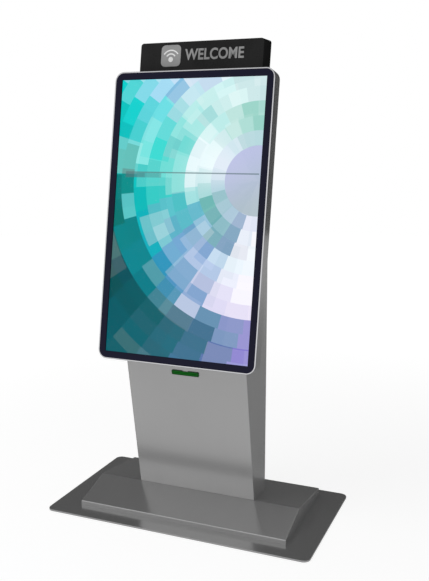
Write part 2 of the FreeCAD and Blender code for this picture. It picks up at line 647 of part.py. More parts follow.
def fan_rotor(x):
    """Fan rotor: hub cup, curved blades and shaft."""
    start = FAN_BACK_Y + 4.0
    depth = FAN_DEPTH - 6.0
    hub = rod((x, start, FAN_Z), Y_AXIS, HUB_R, depth)
    hub = hub.cut(rod((x, start - 1, FAN_Z), Y_AXIS, HUB_R - 2, depth - 1))
    shaft = rod((x, FAN_BACK_Y + 1, FAN_Z), Y_AXIS, SHAFT_R, FAN_DEPTH - 4)
    parts = [hub, shaft]
    for number in range(BLADES):
        blade = box(HUB_R - 1, ROTOR_R, -1.0, 1.0, -depth / 2 + 1, depth / 2 - 1)
        blade.rotate(V(0, 0, 0), X_AXIS, 38)
        blade = blade.common(rod((0, 0, -depth / 2), Z_AXIS, ROTOR_R, depth))
        blade.rotate(V(0, 0, 0), Z_AXIS, 360.0 / BLADES * number)
        blade.rotate(V(0, 0, 0), X_AXIS, 90)
        blade.translate(V(x, start + depth / 2, FAN_Z))
        parts.append(blade)
    return fuse(*parts)


def fan_screws():
    """Screws that hold both fans to the rear panel."""
    return Part.Compound([bolt((x, COLUMN_REAR_Y, z), Y_AXIS, SMALL_SCREW_R, 12.0, 4.0, 2.0)
                          for x, z in fan_screw_spots()])


# ---------------------------------------------------------------- electronics
def mini_computer():
    """Fanless computer with a finned top."""
    case = box(-190, -20, -62, 34, SHELF_TOP, SHELF_TOP + 34)
    fins = [box(-188 + 9 * n, -184 + 9 * n, -58, 30, SHELF_TOP + 34, SHELF_TOP + 46) for n in range(14)]
    ports = [box(-176 + 34 * n, -156 + 34 * n, 30, 40, SHELF_TOP + 10, SHELF_TOP + 22) for n in range(4)]
    return cut(fuse(case, *fins), *ports)


def power_supply():
    """Enclosed power supply with a perforated lid and a terminal strip."""
    case = box(SUPPLY_X0, SUPPLY_X1, -50, 46, SHELF_TOP, SHELF_TOP + 40)
    holes = [rod((SUPPLY_X0 + 14 + 9 * n, -38 + 12 * m, SHELF_TOP + 38), Z_AXIS, 3.0, 5)
             for n in range(10) for m in range(7)]
    notch = box(SUPPLY_X0 - 4, SUPPLY_X0 + 4, -40, 36, SHELF_TOP + 14, SHELF_TOP + 50)
    return cut(case, notch, *holes)


def power_inlet():
    """Three-pole appliance inlet with its socket open to the back."""
    half_w = INLET_WIDTH / 2
    half_h = INLET_HEIGHT / 2
    body = box(INLET_X - half_w, INLET_X + half_w, INLET_BACK_Y, COLUMN_REAR_Y, INLET_Z - half_h, INLET_Z + half_h)
    flange = box(INLET_X - 24, INLET_X + 24, COLUMN_REAR_Y, COLUMN_REAR_Y + 2.5, INLET_Z - 14, INLET_Z + 14)
    socket = box(INLET_X - 12, INLET_X + 12, COLUMN_REAR_Y - 16, COLUMN_REAR_Y + 5, INLET_Z - 8, INLET_Z + 8)
    corners = [e for e in socket.Edges if abs(e.tangentAt(e.FirstParameter).y) > 0.9 and e.CenterOfMass.z > INLET_Z]
    return fuse(body, flange).cut(socket.makeChamfer(4.0, corners))


def inlet_pins():
    """Three flat pins in the inlet."""
    spots = [(-7.0, -1.5), (0.0, 2.5), (7.0, -1.5)]
    return Part.Compound([box(INLET_X + x - 1, INLET_X + x + 1, COLUMN_REAR_Y - 16, COLUMN_REAR_Y - 2,
                              INLET_Z + z - 2, INLET_Z + z + 2) for x, z in spots])


def switch_body():
    """Frame of the mains switch."""
    body = box(SWITCH_X - 8, SWITCH_X + 8, COLUMN_REAR_Y - 20, COLUMN_REAR_Y, INLET_Z - 11.5, INLET_Z + 11.5)
    flange = box(SWITCH_X - 10.5, SWITCH_X + 10.5, COLUMN_REAR_Y, COLUMN_REAR_Y + 2, INLET_Z - 14.5, INLET_Z + 14.5)
    room = box(SWITCH_X - 7.0, SWITCH_X + 7.0, COLUMN_REAR_Y - 12, COLUMN_REAR_Y + 5, INLET_Z - 10.5, INLET_Z + 10.5)
    axle = rod((SWITCH_X - 8, COLUMN_REAR_Y - 5, INLET_Z), X_AXIS, 1.5, 16)
    return fuse(fuse(body, flange).cut(room), axle)


def rocker():
    """Rocker of the mains switch, resting with its upper half pressed in."""
    half = ROCKER_WIDTH / 2
    face = COLUMN_REAR_Y + 2.6
    reach = ROCKER_HEIGHT / 2
    axle_y = COLUMN_REAR_Y - 5
    points = [(axle_y - 3, INLET_Z - 5), (face, INLET_Z - reach), (face - 0.6, INLET_Z), (face, INLET_Z + reach),
              (axle_y - 3, INLET_Z + 5)]
    key = prism_x(points, SWITCH_X - half, SWITCH_X + half)
    key.rotate(V(0, axle_y, INLET_Z), X_AXIS, ROCKER_TILT_DEG)
    return key.cut(rod((SWITCH_X - 10, axle_y, INLET_Z), X_AXIS, 1.5 + RUNNING, 20))


# ---------------------------------------------------------------- receipt printer
def printer_chassis():
    """Printer base with the drive and two cheeks that carry the platen and the lid."""
    base = box(-PRINTER_HALF, PRINTER_HALF, PRINTER_FRONT_Y, PRINTER_REAR_Y, PRINTER_FOOT, PRINTER_FOOT + 35)
    cheek = box(PRINTER_HALF - CHEEK, PRINTER_HALF, PRINTER_FRONT_Y, PRINTER_REAR_Y, PRINTER_FOOT + 35, CHEEK_TOP)
    platen = rod((-60, PLATEN_Y, PLATEN_Z), X_AXIS, PLATEN_SHAFT_R + RUNNING, 120)
    lid = rod((-60, LID_PIN_Y, LID_PIN_Z), X_AXIS, LID_PIN_R + RUNNING, 120)
    return cut(fuse(base, cheek, mirrored_x(cheek)), platen, lid)


def print_head():
    """Thermal print head under the platen."""
    top = SLOT_Z - 0.5
    block = box(-42, 42, PLATEN_Y - 8, PLATEN_Y + 8, PRINTER_FOOT + 35, top)
    return block.cut(box(-50, 50, PLATEN_Y + 3, PLATEN_Y + 9, top - 12, top + 1))


def cutter_unit():
    """Closed cutter unit between the platen and the paper slot."""
    block = box(-46, 46, PRINTER_FRONT_Y - 8, PLATEN_Y - 9.5, PRINTER_FOOT + 38, SLOT_Z + 14)
    throat = box(-PAPER_WIDTH / 2 - 1, PAPER_WIDTH / 2 + 1, -150, 0, SLOT_Z - 2.5, SLOT_Z + 2.5)
    return block.cut(throat)


def platen_roller():
    """Rubber sleeve of the platen."""
    sleeve = rod((-PAPER_WIDTH / 2 - 1, PLATEN_Y, PLATEN_Z), X_AXIS, PLATEN_R, PAPER_WIDTH + 2)
    return sleeve.cut(rod((-60, PLATEN_Y, PLATEN_Z), X_AXIS, PLATEN_SHAFT_R, 120))


def platen_shaft():
    """Steel platen shaft with its drive gear."""
    shaft = rod((-PRINTER_HALF - 1, PLATEN_Y, PLATEN_Z), X_AXIS, PLATEN_SHAFT_R,
                2 * PRINTER_HALF + 2 + GEAR_WIDTH)
    gear = rod((PRINTER_HALF + 0.5, PLATEN_Y, PLATEN_Z), X_AXIS, GEAR_R, GEAR_WIDTH)
    gaps = []
    for number in range(GEAR_TEETH):
        gap = box(-1, GEAR_WIDTH + 2, GEAR_R - 1.4, GEAR_R + 1, -0.8, 0.8)
        gap.rotate(V(0, 0, 0), X_AXIS, 360.0 / GEAR_TEETH * number)
        gap.translate(V(PRINTER_HALF, PLATEN_Y, PLATEN_Z))
        gaps.append(gap)
    return fuse(shaft, gear).cut(Part.Compound(gaps))


def printer_lid():
    """Lid over the platen with two hinge lugs between the cheeks."""
    plate = box(-PRINTER_HALF, PRINTER_HALF, PRINTER_FRONT_Y, LID_PIN_Y - 7, CHEEK_TOP + 0.5, CHEEK_TOP + 3)
    lug = prism_x([(LID_PIN_Y - 14, CHEEK_TOP + 1), (LID_PIN_Y - 12, LID_PIN_Z - 4), (LID_PIN_Y + 4, LID_PIN_Z - 4),
                   (LID_PIN_Y + 4, LID_PIN_Z + 3), (LID_PIN_Y - 7, CHEEK_TOP + 1)], 43.5, 47.5)
    grip = box(-20, 20, PRINTER_FRONT_Y - 4, PRINTER_FRONT_Y, CHEEK_TOP + 0.5, CHEEK_TOP + 3)
    pin = rod((-60, LID_PIN_Y, LID_PIN_Z), X_AXIS, LID_PIN_R, 120)
    return fuse(plate, grip, lug, mirrored_x(lug)).cut(pin)


def lid_pin():
    """Hinge pin of the printer lid."""
    return rod((-PRINTER_HALF - 1, LID_PIN_Y, LID_PIN_Z), X_AXIS, LID_PIN_R, 2 * PRINTER_HALF + 2)


def paper_roll():
    """Roll of receipt paper."""
    half = PAPER_WIDTH / 2
    roll = rod((-half, ROLL_Y, ROLL_Z), X_AXIS, PAPER_ROLL_R, PAPER_WIDTH)
    return roll.cut(rod((-half - 1, ROLL_Y, ROLL_Z), X_AXIS, PAPER_CORE_R, PAPER_WIDTH + 2))


def paper_core():
    """Cardboard core of the roll."""
    half = PAPER_WIDTH / 2
    core = rod((-half, ROLL_Y, ROLL_Z), X_AXIS, PAPER_CORE_R, PAPER_WIDTH)
    return core.cut(rod((-half - 1, ROLL_Y, ROLL_Z), X_AXIS, SPINDLE_R + RUNNING, PAPER_WIDTH + 2))


def paper_spindle():
    """Fixed spindle under the paper roll."""
    return rod((-50, ROLL_Y, ROLL_Z), X_AXIS, SPINDLE_R, 100)


def roll_holder():
    """Two upright arms that hold the spindle."""
    inner = PAPER_WIDTH / 2 + 3
    arm = box(inner, inner + 4, ROLL_Y - 12, ROLL_Y + 12, PRINTER_FOOT, ROLL_Z)
    head = rod((inner, ROLL_Y, ROLL_Z), X_AXIS, 12.0, 4)
    foot = box(inner, inner + 18, ROLL_Y - 12, ROLL_Y + 12, PRINTER_FOOT, PRINTER_FOOT + 3)
    arm = fuse(arm, head, foot).cut(rod((0, ROLL_Y, ROLL_Z), X_AXIS, SPINDLE_R, 100))
    return pair(arm)


def paper_web():
    """Paper between the roll and the print head."""
    bend_y = PLATEN_Y + 28
    low = SLOT_Z - 0.25
    thick = 0.2
    reach = math.hypot(ROLL_Y - bend_y, ROLL_Z - low)
    angle = math.atan2(ROLL_Z - low, ROLL_Y - bend_y) + math.asin((PAPER_ROLL_R + TOUCH_FREE) / reach)
    run = math.sqrt(reach ** 2 - (PAPER_ROLL_R + TOUCH_FREE) ** 2)
    end_y = bend_y + run * math.cos(angle)
    end_z = low + run * math.sin(angle)
    front = PLATEN_Y - 14
    points = [(front, low), (bend_y, low), (end_y, end_z), (end_y - thick * math.sin(angle), end_z + thick),
              (bend_y, low + thick), (front, low + thick)]
    return prism_x(points, -PAPER_WIDTH / 2, PAPER_WIDTH / 2)


def slot_bezel():
    """Green paper bezel: a proud rounded plate with a throat and a finger notch."""
    y = 0.0
    half_h = BEZEL_HEIGHT / 2
    plate = slab(BEZEL_WIDTH / 2, -half_h, half_h, y - BEZEL_PROUD, y, 4.0)
    notch = slab(11.0, half_h - 3.0, half_h + 10, y - BEZEL_PROUD - 1, y + 1, 2.9)
    plate = plate.cut(notch)
    plate.rotate(V(0, 0, 0), X_AXIS, COLUMN_LEAN_DEG)
    plate.translate(V(0, front_y(SLOT_Z), SLOT_Z))
    tube_half = SLOT_WIDTH / 2 + SHEET
    tube_h = SLOT_HEIGHT / 2 + SHEET
    tube = box(-tube_half, tube_half, front_y(SLOT_Z) - 1, PRINTER_FRONT_Y - 8.5, SLOT_Z - tube_h, SLOT_Z + tube_h)
    throat = box(-SLOT_WIDTH / 2, SLOT_WIDTH / 2, -150, -100, SLOT_Z - SLOT_HEIGHT / 2, SLOT_Z + SLOT_HEIGHT / 2)
    return fuse(plate, tube).cut(throat)


# ---------------------------------------------------------------- display, in the screen's frame
def touch_glass():
    """Toughened cover glass with the touch sensor."""
    return tilted(slab(GLASS_WIDTH / 2, 0, GLASS_HEIGHT, 0, GLASS_THICKNESS, GLASS_CORNER_R))


def bezel_rim():
    """Silver rim round the glass with a ledge behind it."""
    outer = slab(RIM_OUT, -RIM_WIDTH, GLASS_HEIGHT + RIM_WIDTH, -0.5, RIM_DEPTH, RIM_R)
    front_edges = [e for e in outer.Edges if abs(e.CenterOfMass.y + 0.5) < 1e-6]
    outer = outer.makeFillet(1.2, front_edges)
    seat = slab(GLASS_WIDTH / 2 + 0.1, -0.1, GLASS_HEIGHT + 0.1, -1, GLASS_THICKNESS, GLASS_CORNER_R + 0.1)
    inner = GLASS_WIDTH / 2 - RIM_LEDGE
    window = slab(inner, RIM_LEDGE, GLASS_HEIGHT - RIM_LEDGE, 0, RIM_DEPTH + 1, RIM_WINDOW_R)
    return tilted(cut(outer, seat, window))


def glass_gasket():
    """Foam gasket between the glass and the panel."""
    half = ACTIVE_WIDTH / 2 + LCD_EDGE
    low = GLASS_BORDER - LCD_EDGE
    high = GLASS_HEIGHT - low
    ring = slab(half, low, high, GLASS_THICKNESS, GLASS_THICKNESS + GASKET_THICKNESS, 6.0)
    inner = slab(half - GASKET_WIDTH, low + GASKET_WIDTH, high - GASKET_WIDTH, 0, 20, 3.0)
    return tilted(ring.cut(inner))


def panel_block(edge, y0, y1):
    """Block as large as the picture plus an edge all round."""
    half = ACTIVE_WIDTH / 2 + edge
    return box(-half, half, y0, y1, GLASS_BORDER - edge, GLASS_HEIGHT - GLASS_BORDER + edge)


def lcd_panel():
    """Liquid-crystal panel in its frame."""
    return tilted(panel_block(LCD_EDGE, GLASS_THICKNESS + GASKET_THICKNESS, LCD_BACK))


def lcd_chassis():
    """Backlight chassis with pressed ribs."""
    plate = panel_block(LCD_EDGE - 2, LCD_BACK, CHASSIS_BACK)
    pocket = panel_block(LCD_EDGE - 12, LCD_BACK + 3, CHASSIS_BACK + 1)
    ribs = [box(-250, 250, LCD_BACK, CHASSIS_BACK, h - 20, h + 20) for h in (VESA_H - 200, VESA_H, VESA_H + 200)]
    return tilted(fuse(plate.cut(pocket), *ribs))


def lcd_standoffs():
    """Four standoffs between the chassis and the back of the housing."""
    posts = []
    for x, h in vesa_spots():
        post = rod((x, CHASSIS_BACK, h), Y_AXIS, 7.0, HOUSING_BACK - CHASSIS_BACK)
        posts.append(tilted(post.cut(rod((x, 0, h), Y_AXIS, 3.0, 60))))
    return Part.Compound(posts)


def display_board():
    """Picture controller board with its connectors, on the chassis."""
    foot = CHASSIS_BACK
    plate = box(-90, 90, foot + 3, foot + 5, LEAD_HOLE_H - 70, LEAD_HOLE_H + 30)
    feet = [rod((x, foot - 9, h), Y_AXIS, 3.0, 12) for x in (-82, 82) for h in (LEAD_HOLE_H - 62, LEAD_HOLE_H + 22)]
    chips = [box(-60, -30, foot + 5, foot + 8, LEAD_HOLE_H - 50, LEAD_HOLE_H - 20),
             box(30, 50, foot + 5, foot + 7, LEAD_HOLE_H - 40, LEAD_HOLE_H - 20),
             box(-14, 14, foot + 5, foot + 11, LEAD_HOLE_H - 12, LEAD_HOLE_H + 12)]
    return tilted(fuse(plate, *(feet + chips)))


def display_housing():
    """Deep-drawn tray behind the rim that holds the panel."""
    half = RIM_OUT
    low = -RIM_WIDTH
    high = GLASS_HEIGHT + RIM_WIDTH
    tray = slab(half, low, high, RIM_DEPTH, HOUSING_DEPTH, RIM_R)
    room = slab(half - SHEET, low + SHEET, high - SHEET, 0, HOUSING_BACK, RIM_R - SHEET)
    holes = [rod((x, 0, h), Y_AXIS, 3.0, 60) for x, h in vesa_spots()]
    holes.append(rod((0, 0, LEAD_HOLE_H), Y_AXIS, LEAD_HOLE_R, 60))
    for side in (-1, 1):
        for number in range(12):
            h = 760 + 9 * number
            holes.append(box(side * 200 - 35, side * 200 + 35, 40, 60, h, h + 4))
    return tilted(cut(tray, room, *holes))


def mount_rails():
    """Two steel rails that space the display off the column."""
    rails = []
    for x in (-VESA_SPACING_X / 2, VESA_SPACING_X / 2):
        rail = box(x - RAIL_WIDTH / 2, x + RAIL_WIDTH / 2, HOUSING_DEPTH, COLUMN_SETBACK, VESA_H - 260, VESA_H + 260)
        holes = [rod((sx, 0, h), Y_AXIS, 3.0, 100) for sx, h in vesa_spots() if sx == x]
        rails.append(tilted(cut(rail, *holes)))
    return Part.Compound(rails)


def display_bolts():
    """Four bolts from inside the column through the rails into the standoffs."""
    seat = COLUMN_SETBACK + SHEET
    return Part.Compound([tilted(bolt((x, seat, h), Y_AXIS, 3.0, seat - CHASSIS_BACK - 1, 6.0, 4.0))
                          for x, h in vesa_spots()])


# ---------------------------------------------------------------- header, in the screen's frame
def header_block(inset, y0, y1):
    """Header outline moved in by inset, between two depths, with a level top and round upper corners."""
    half = HEADER_WIDTH / 2 - inset
    top = GLASS_HEIGHT + HEADER_RISE - inset / math.cos(TILT)
    tops = [top + (y - HEADER_SETBACK) * math.tan(TILT) for y in (y0, y1)]
    foot = HEADER_FOOT + inset
    block = prism_x([(y0, foot), (y0, tops[0]), (y1, tops[1]), (y1, foot)], -half, half)
    edges = [e for e in block.Edges if abs(e.tangentAt(e.FirstParameter).y) > 0.9 and e.CenterOfMass.z > min(tops) - 1]
    return block.makeFillet(HEADER_CORNER_R - inset, edges)


def header_shell():
    """Black header box, open to the front."""
    front = HEADER_SETBACK + HEADER_FACE_THICKNESS
    rear = HEADER_SETBACK + HEADER_DEPTH
    shell = header_block(0, front, rear).cut(header_block(SHEET, 0, rear - SHEET))
    hole = rod((0, COLUMN_SETBACK + 35, HEADER_FOOT - 1), Z_AXIS, 12.0, 10)
    return tilted(shell.cut(hole))


def header_face():
    """Black acrylic front of the header."""
    face = header_block(0, HEADER_SETBACK, HEADER_SETBACK + HEADER_FACE_THICKNESS)
    front = [e for e in face.Edges if abs(e.CenterOfMass.y - HEADER_SETBACK) < 1e-6]
    return tilted(face.makeFillet(0.8, front))


def header_leds():
    """Light boards inside the header."""
    back = HEADER_SETBACK + HEADER_DEPTH - SHEET
    boards = []
    for h in (HEADER_FOOT + 35, HEADER_FOOT + 80):
        board = box(-190, 190, back - 1.6, back, h - 8, h + 8)
        chips = [box(x - 2.5, x + 2.5, back - 3, back - 1.6, h - 2.5, h + 2.5) for x in range(-180, 181, 30)]
        boards.append(tilted(fuse(board, *chips)))
    return Part.Compound(boards)


# ---------------------------------------------------------------- leads held inside
MAINS_ROUTE = [(INLET_X, INLET_BACK_Y, INLET_Z), (INLET_X, INLET_BACK_Y - 45, INLET_Z),
               (INLET_X + 34, -18, INLET_Z + 38), (SHELF_HOLE_X - 4, -12, INLET_Z + 84),
               (SHELF_HOLE_X, -8, SHELF_TOP - 30), (SHELF_HOLE_X - 1, -8, SHELF_TOP + 4),
               (SHELF_HOLE_X - 20, -7, SHELF_TOP + 25), (SUPPLY_X1 + 28, -6, SHELF_TOP + 26),
               (SUPPLY_X1, -6, SHELF_TOP + 26)]


def mains_lead():
    """Lead from the inlet up to the power supply."""
    return lead(MAINS_ROUTE, LEAD_D)


def display_lead():
    """Lead from the computer up the column and into the display."""
    end_y, end_z = on_screen(CHASSIS_BACK + 11, LEAD_HOLE_H)
    way_y, way_z = on_screen(COLUMN_SETBACK + 40, LEAD_HOLE_H)
    route = [(-38, -10, SHELF_TOP + 34), (-38, -10, SHELF_TOP + 90), (-62, 2, SHELF_TOP + 156),
             (-88, 8, SHELF_TOP + 230), (-86, 2, SHELF_TOP + 320), (-70, -14, SHELF_TOP + 396),
             (-34, -30, SHELF_TOP + 456), (0, way_y, way_z), (0, end_y, end_z)]
    return lead(route, LEAD_D)


PIECES = {
    "base_plate": base_plate,
    "base_cover_front": lambda: cover_half(True),
    "base_cover_rear": lambda: cover_half(False),
    "column_foot": column_foot,
    "foot_bolts": foot_bolts,
    "column_shell": column_shell,
    "rear_jambs": rear_jambs,
    "column_top_cap": column_top_cap,
    "equipment_shelf": lambda: shelf(SHELF_Z, [(SHELF_HOLE_X, -8.0)]),
    "printer_shelf": lambda: shelf(PRINTER_SHELF_Z, [(-88.0, 8.0)]),
    "shelf_screws": shelf_screws,
    "lower_rear_panel": lower_rear_panel,
    "upper_rear_panel": upper_rear_panel,
    "case_screws": case_screws,
    "rear_door": rear_door,
    "door_pivot_pins": door_pivot_pins,
    "pivot_brackets": pivot_brackets,
    "pivot_bushes": pivot_bushes,
    "lock_body": lock_body,
    "lock_plug": lock_plug,
    "lock_cam": lock_cam,
    "lock_keeper": lock_keeper,
    "fan_frames": lambda: Part.Compound([fan_frame(-FAN_X), fan_frame(FAN_X)]),
    "fan_rotor_left": lambda: fan_rotor(-FAN_X),
    "fan_rotor_right": lambda: fan_rotor(FAN_X),
    "fan_screws": fan_screws,
    "mini_computer": mini_computer,
    "power_supply": power_supply,
    "power_inlet": power_inlet,
    "inlet_pins": inlet_pins,
    "switch_body": switch_body,
    "rocker": rocker,
    "printer_chassis": printer_chassis,
    "print_head": print_head,
    "cutter_unit": cutter_unit,
    "platen_roller": platen_roller,
    "platen_shaft": platen_shaft,
    "printer_lid": printer_lid,
    "lid_pin": lid_pin,
    "paper_roll": paper_roll,
    "paper_core": paper_core,
    "paper_spindle": paper_spindle,
    "roll_holder": roll_holder,
    "paper_web": paper_web,
    "slot_bezel": slot_bezel,
    "touch_glass": touch_glass,
    "bezel_rim": bezel_rim,
    "glass_gasket": glass_gasket,
    "lcd_panel": lcd_panel,
    "lcd_chassis": lcd_chassis,
    "lcd_standoffs": lcd_standoffs,
    "display_board": display_board,
    "display_housing": display_housing,
    "mount_rails": mount_rails,
    "display_bolts": display_bolts,
    "header_shell": header_shell,
    "header_face": header_face,
    "header_leds": header_leds,
    "mains_lead": mains_lead,
    "display_lead": display_lead,
}

os.makedirs("parts", exist_ok=True)
for name, make in PIECES.items():
    make().exportStep("parts/%s.step" % name)
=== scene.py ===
"""Finishes, small fittings and studio of a free-standing touchscreen kiosk."""

import logging
import math
from dataclasses import dataclass, field
from enum import Enum
from typing import Callable, Iterable, Sequence

import bmesh
import bpy
from mathutils import Matrix, Vector


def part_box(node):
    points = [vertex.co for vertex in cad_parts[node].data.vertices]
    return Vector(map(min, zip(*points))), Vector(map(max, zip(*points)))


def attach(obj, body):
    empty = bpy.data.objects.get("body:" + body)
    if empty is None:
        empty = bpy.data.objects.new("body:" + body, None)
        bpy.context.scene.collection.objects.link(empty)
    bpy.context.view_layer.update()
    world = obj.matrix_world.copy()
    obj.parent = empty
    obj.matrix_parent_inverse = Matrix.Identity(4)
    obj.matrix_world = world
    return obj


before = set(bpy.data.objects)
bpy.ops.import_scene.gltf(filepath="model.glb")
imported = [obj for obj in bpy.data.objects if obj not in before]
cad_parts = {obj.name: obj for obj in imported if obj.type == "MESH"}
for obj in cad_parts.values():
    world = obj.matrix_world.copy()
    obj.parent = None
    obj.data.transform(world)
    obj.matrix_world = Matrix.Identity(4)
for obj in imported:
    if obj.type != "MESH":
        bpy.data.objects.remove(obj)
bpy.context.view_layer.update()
LOG = logging.getLogger("kiosk")

SCREEN_TILT = math.radians(10.0)
SCREEN_FOOT = Vector((0.0, -0.2183, 0.5874))
PICTURE_FOOT = 0.023
PICTURE_TOP = 0.953
AXIS_TURNS = {"X": (0.0, math.pi / 2, 0.0), "Y": (math.pi / 2, 0.0, 0.0), "Z": (0.0, 0.0, 0.0)}
SAME_WAY_COSINE = 0.99
SHARP_ANGLE = 0.6
WELD_DISTANCE = 0.000002

Colour = tuple[float, float, float]
Spot = Sequence[float]
Stops = Sequence[tuple[float, Colour]]


def tone(red: float, green: float, blue: float) -> Colour:
    """Turns a display tone into the light it stands for.

    Args:
        red: red, 0 to 255.
        green: green, 0 to 255.
        blue: blue, 0 to 255.

    Returns:
        The three linear parts.
    """
    def linear(part: float) -> float:
        """Undoes the display curve of one part."""
        share = part / 255.0
        return share / 12.92 if share <= 0.04045 else ((share + 0.055) / 1.055) ** 2.4

    return linear(red), linear(green), linear(blue)


def grey(level: float) -> Colour:
    """Returns a neutral colour of one linear level."""
    return level, level, level


def scaled(colour: Colour, factor: float) -> Colour:
    """Returns a colour made lighter or deeper by a factor."""
    red, green, blue = colour
    return factor * red, factor * green, factor * blue


def screen_spot(across: float, up: float, depth: float) -> Vector:
    """Finds a spot on the tilted screen.

    Args:
        across: distance to the right of the middle, in metres.
        up: distance up the glass from its foot.
        depth: distance behind the front of the glass.

    Returns:
        The spot in the kiosk's own frame.
    """
    lean, rise = math.sin(SCREEN_TILT), math.cos(SCREEN_TILT)
    return SCREEN_FOOT + Vector((across, depth * rise + up * lean, up * rise - depth * lean))


# ---------------------------------------------------------------- shader nodes


class Value:
    """A shader value whose sums add Math nodes."""

    def __init__(self, shader: "Shader", socket: bpy.types.NodeSocket) -> None:
        """Keeps the socket and the shader it belongs to."""
        self.shader = shader
        self.socket = socket

    def maths(self, operation: str, *others: "Value | float") -> "Value":
        """Adds a Math node.

        Args:
            operation: the node's operation.
            others: the values after this one.

        Returns:
            The result.
        """
        return self.shader.maths(operation, self, *others)

    def __add__(self, other: "Value | float") -> "Value":
        """Adds."""
        return self.maths("ADD", other)

    def __radd__(self, other: float) -> "Value":
        """Adds to a number."""
        return self.maths("ADD", other)

    def __sub__(self, other: "Value | float") -> "Value":
        """Takes away."""
        return self.maths("SUBTRACT", other)

    def __rsub__(self, other: float) -> "Value":
        """Takes this from a number."""
        return self.shader.maths("SUBTRACT", other, self)

    def __mul__(self, other: "Value | float") -> "Value":
        """Multiplies."""
        return self.maths("MULTIPLY", other)

    def __rmul__(self, other: float) -> "Value":
        """Multiplies a number."""
        return self.maths("MULTIPLY", other)

    def __truediv__(self, other: "Value | float") -> "Value":
        """Divides."""
        return self.maths("DIVIDE", other)

    def floor(self) -> "Value":
        """Rounds down."""
        return self.maths("FLOOR")

    def size(self) -> "Value":
        """Drops the sign."""
        return self.maths("ABSOLUTE")

    def over(self, limit: "Value | float") -> "Value":
        """Gives 1 above a limit and 0 below."""
        return self.maths("GREATER_THAN", limit)

    def under(self, limit: "Value | float") -> "Value":
        """Gives 1 below a limit and 0 above."""
        return self.maths("LESS_THAN", limit)

    def ease(self, low: float, high: float) -> "Value":
        """Rises smoothly from 0 at the low value to 1 at the high one.

        Args:
            low: where the rise starts.
            high: where the rise ends.

        Returns:
            The eased share.
        """
        settings = {"interpolation_type": "SMOOTHSTEP"}
        return self.shader.node("ShaderNodeMapRange", settings, {"Value": self, 1: low, 2: high})


class Shader:
    """The node tree of one material or of the world."""

    def __init__(self, tree: bpy.types.NodeTree) -> None:
        """Clears the tree."""
        self.tree = tree
        self.tree.nodes.clear()

    def node(self, kind: str, settings: dict | None = None, inputs: dict | None = None,
             output: int | str = 0) -> Value:
        """Adds a node, its settings first and then its inputs.

        Args:
            kind: the node's type.
            settings: attributes, and "stops" for a ramp.
            inputs: socket names or numbers with values or links.
            output: the output that is wanted.

        Returns:
            The wanted output.
        """
        made = self.tree.nodes.new(kind)
        for name, setting in (settings or {}).items():
            if name == "stops":
                self._set_stops(made.color_ramp, setting)
            else:
                setattr(made, name, setting)
        for name, value in (inputs or {}).items():
            socket = made.inputs[name]
            if isinstance(value, Value):
                self.tree.links.new(value.socket, socket)
            elif hasattr(socket, "default_value"):
                wide = hasattr(value, "__len__") and len(value) == 3 and socket.type == "RGBA"
                socket.default_value = (*value, 1.0) if wide else value
        return Value(self, made.outputs[output] if len(made.outputs) else None)

    @staticmethod
    def _set_stops(ramp: bpy.types.ColorRamp, stops: Stops) -> None:
        """Gives a ramp its stops.

        Args:
            ramp: the ramp.
            stops: places and colours in rising order.
        """
        while len(ramp.elements) < len(stops):
            ramp.elements.new(1.0)
        for element, (place, _) in zip(ramp.elements, stops):
            element.position = place
        for element, (_, colour) in zip(ramp.elements, stops):
            element.color = (*colour, 1.0)

    def maths(self, operation: str, *values: Value | float) -> Value:
        """Adds a Math node.

        Args:
            operation: the node's operation.
            values: its inputs in order.

        Returns:
            The result.
        """
        return self.node("ShaderNodeMath", {"operation": operation}, dict(enumerate(values)))

    def mix(self, share: Value | float, first: Value | Colour, second: Value | Colour,
            blend: str = "MIX") -> Value:
        """Mixes two colours.

        Args:
            share: how much of the second.
            first: the first colour.
            second: the second colour.
            blend: the way they mix.

        Returns:
            The mixed colour.
        """
        settings = {"data_type": "RGBA", "blend_type": blend, "clamp_factor": True}
        return self.node("ShaderNodeMix", settings, {0: share, 6: first, 7: second}, 2)

    def ramp(self, share: Value, stops: Stops) -> Value:
        """Looks a share up in a row of colours.

        Args:
            share: 0 to 1.
            stops: places and colours.

        Returns:
            The colour.
        """
        return self.node("ShaderNodeValToRGB", {"stops": stops}, {"Fac": share})

    def noise(self, scale: float, detail: float = 2.0, stretch: Spot = (1.0, 1.0, 1.0)) -> Value:
        """Makes a noise value in the kiosk's own frame.

        Args:
            scale: grains to a metre.
            detail: how rich it is.
            stretch: the scale along each axis.

        Returns:
            The noise, about 0.5.
        """
        place = self.node("ShaderNodeMapping", None, {"Vector": self.place(), "Scale": stretch})
        return self.node("ShaderNodeTexNoise", None,
                         {"Vector": place, "Scale": scale, "Detail": detail})

    def place(self) -> Value:
        """Returns the spot on the piece in metres."""
        return self.node("ShaderNodeTexCoord", None, None, "Object")

    def axes(self) -> tuple[Value, Value, Value]:
        """Returns the three coordinates of the spot."""
        split = self.node("ShaderNodeSeparateXYZ", None, {"Vector": self.place()})
        outputs = split.socket.node.outputs
        return Value(self, outputs[0]), Value(self, outputs[1]), Value(self, outputs[2])

    def on_glass(self) -> tuple[Value, Value, Value]:
        """Returns the spot across the glass, up it and behind its front."""
        across, back, height = self.axes()
        lean, rise = math.sin(SCREEN_TILT), math.cos(SCREEN_TILT)
        back, height = back - SCREEN_FOOT.y, height - SCREEN_FOOT.z
        return across, back * lean + height * rise, back * rise - height * lean

    def bump(self, height: Value, strength: float, distance: float) -> Value:
        """Turns a height into a normal.

        Args:
            height: the height value.
            strength: share of the effect.
            distance: depth in metres.

        Returns:
            The normal.
        """
        return self.node("ShaderNodeBump", None,
                         {"Height": height, "Strength": strength, "Distance": distance})


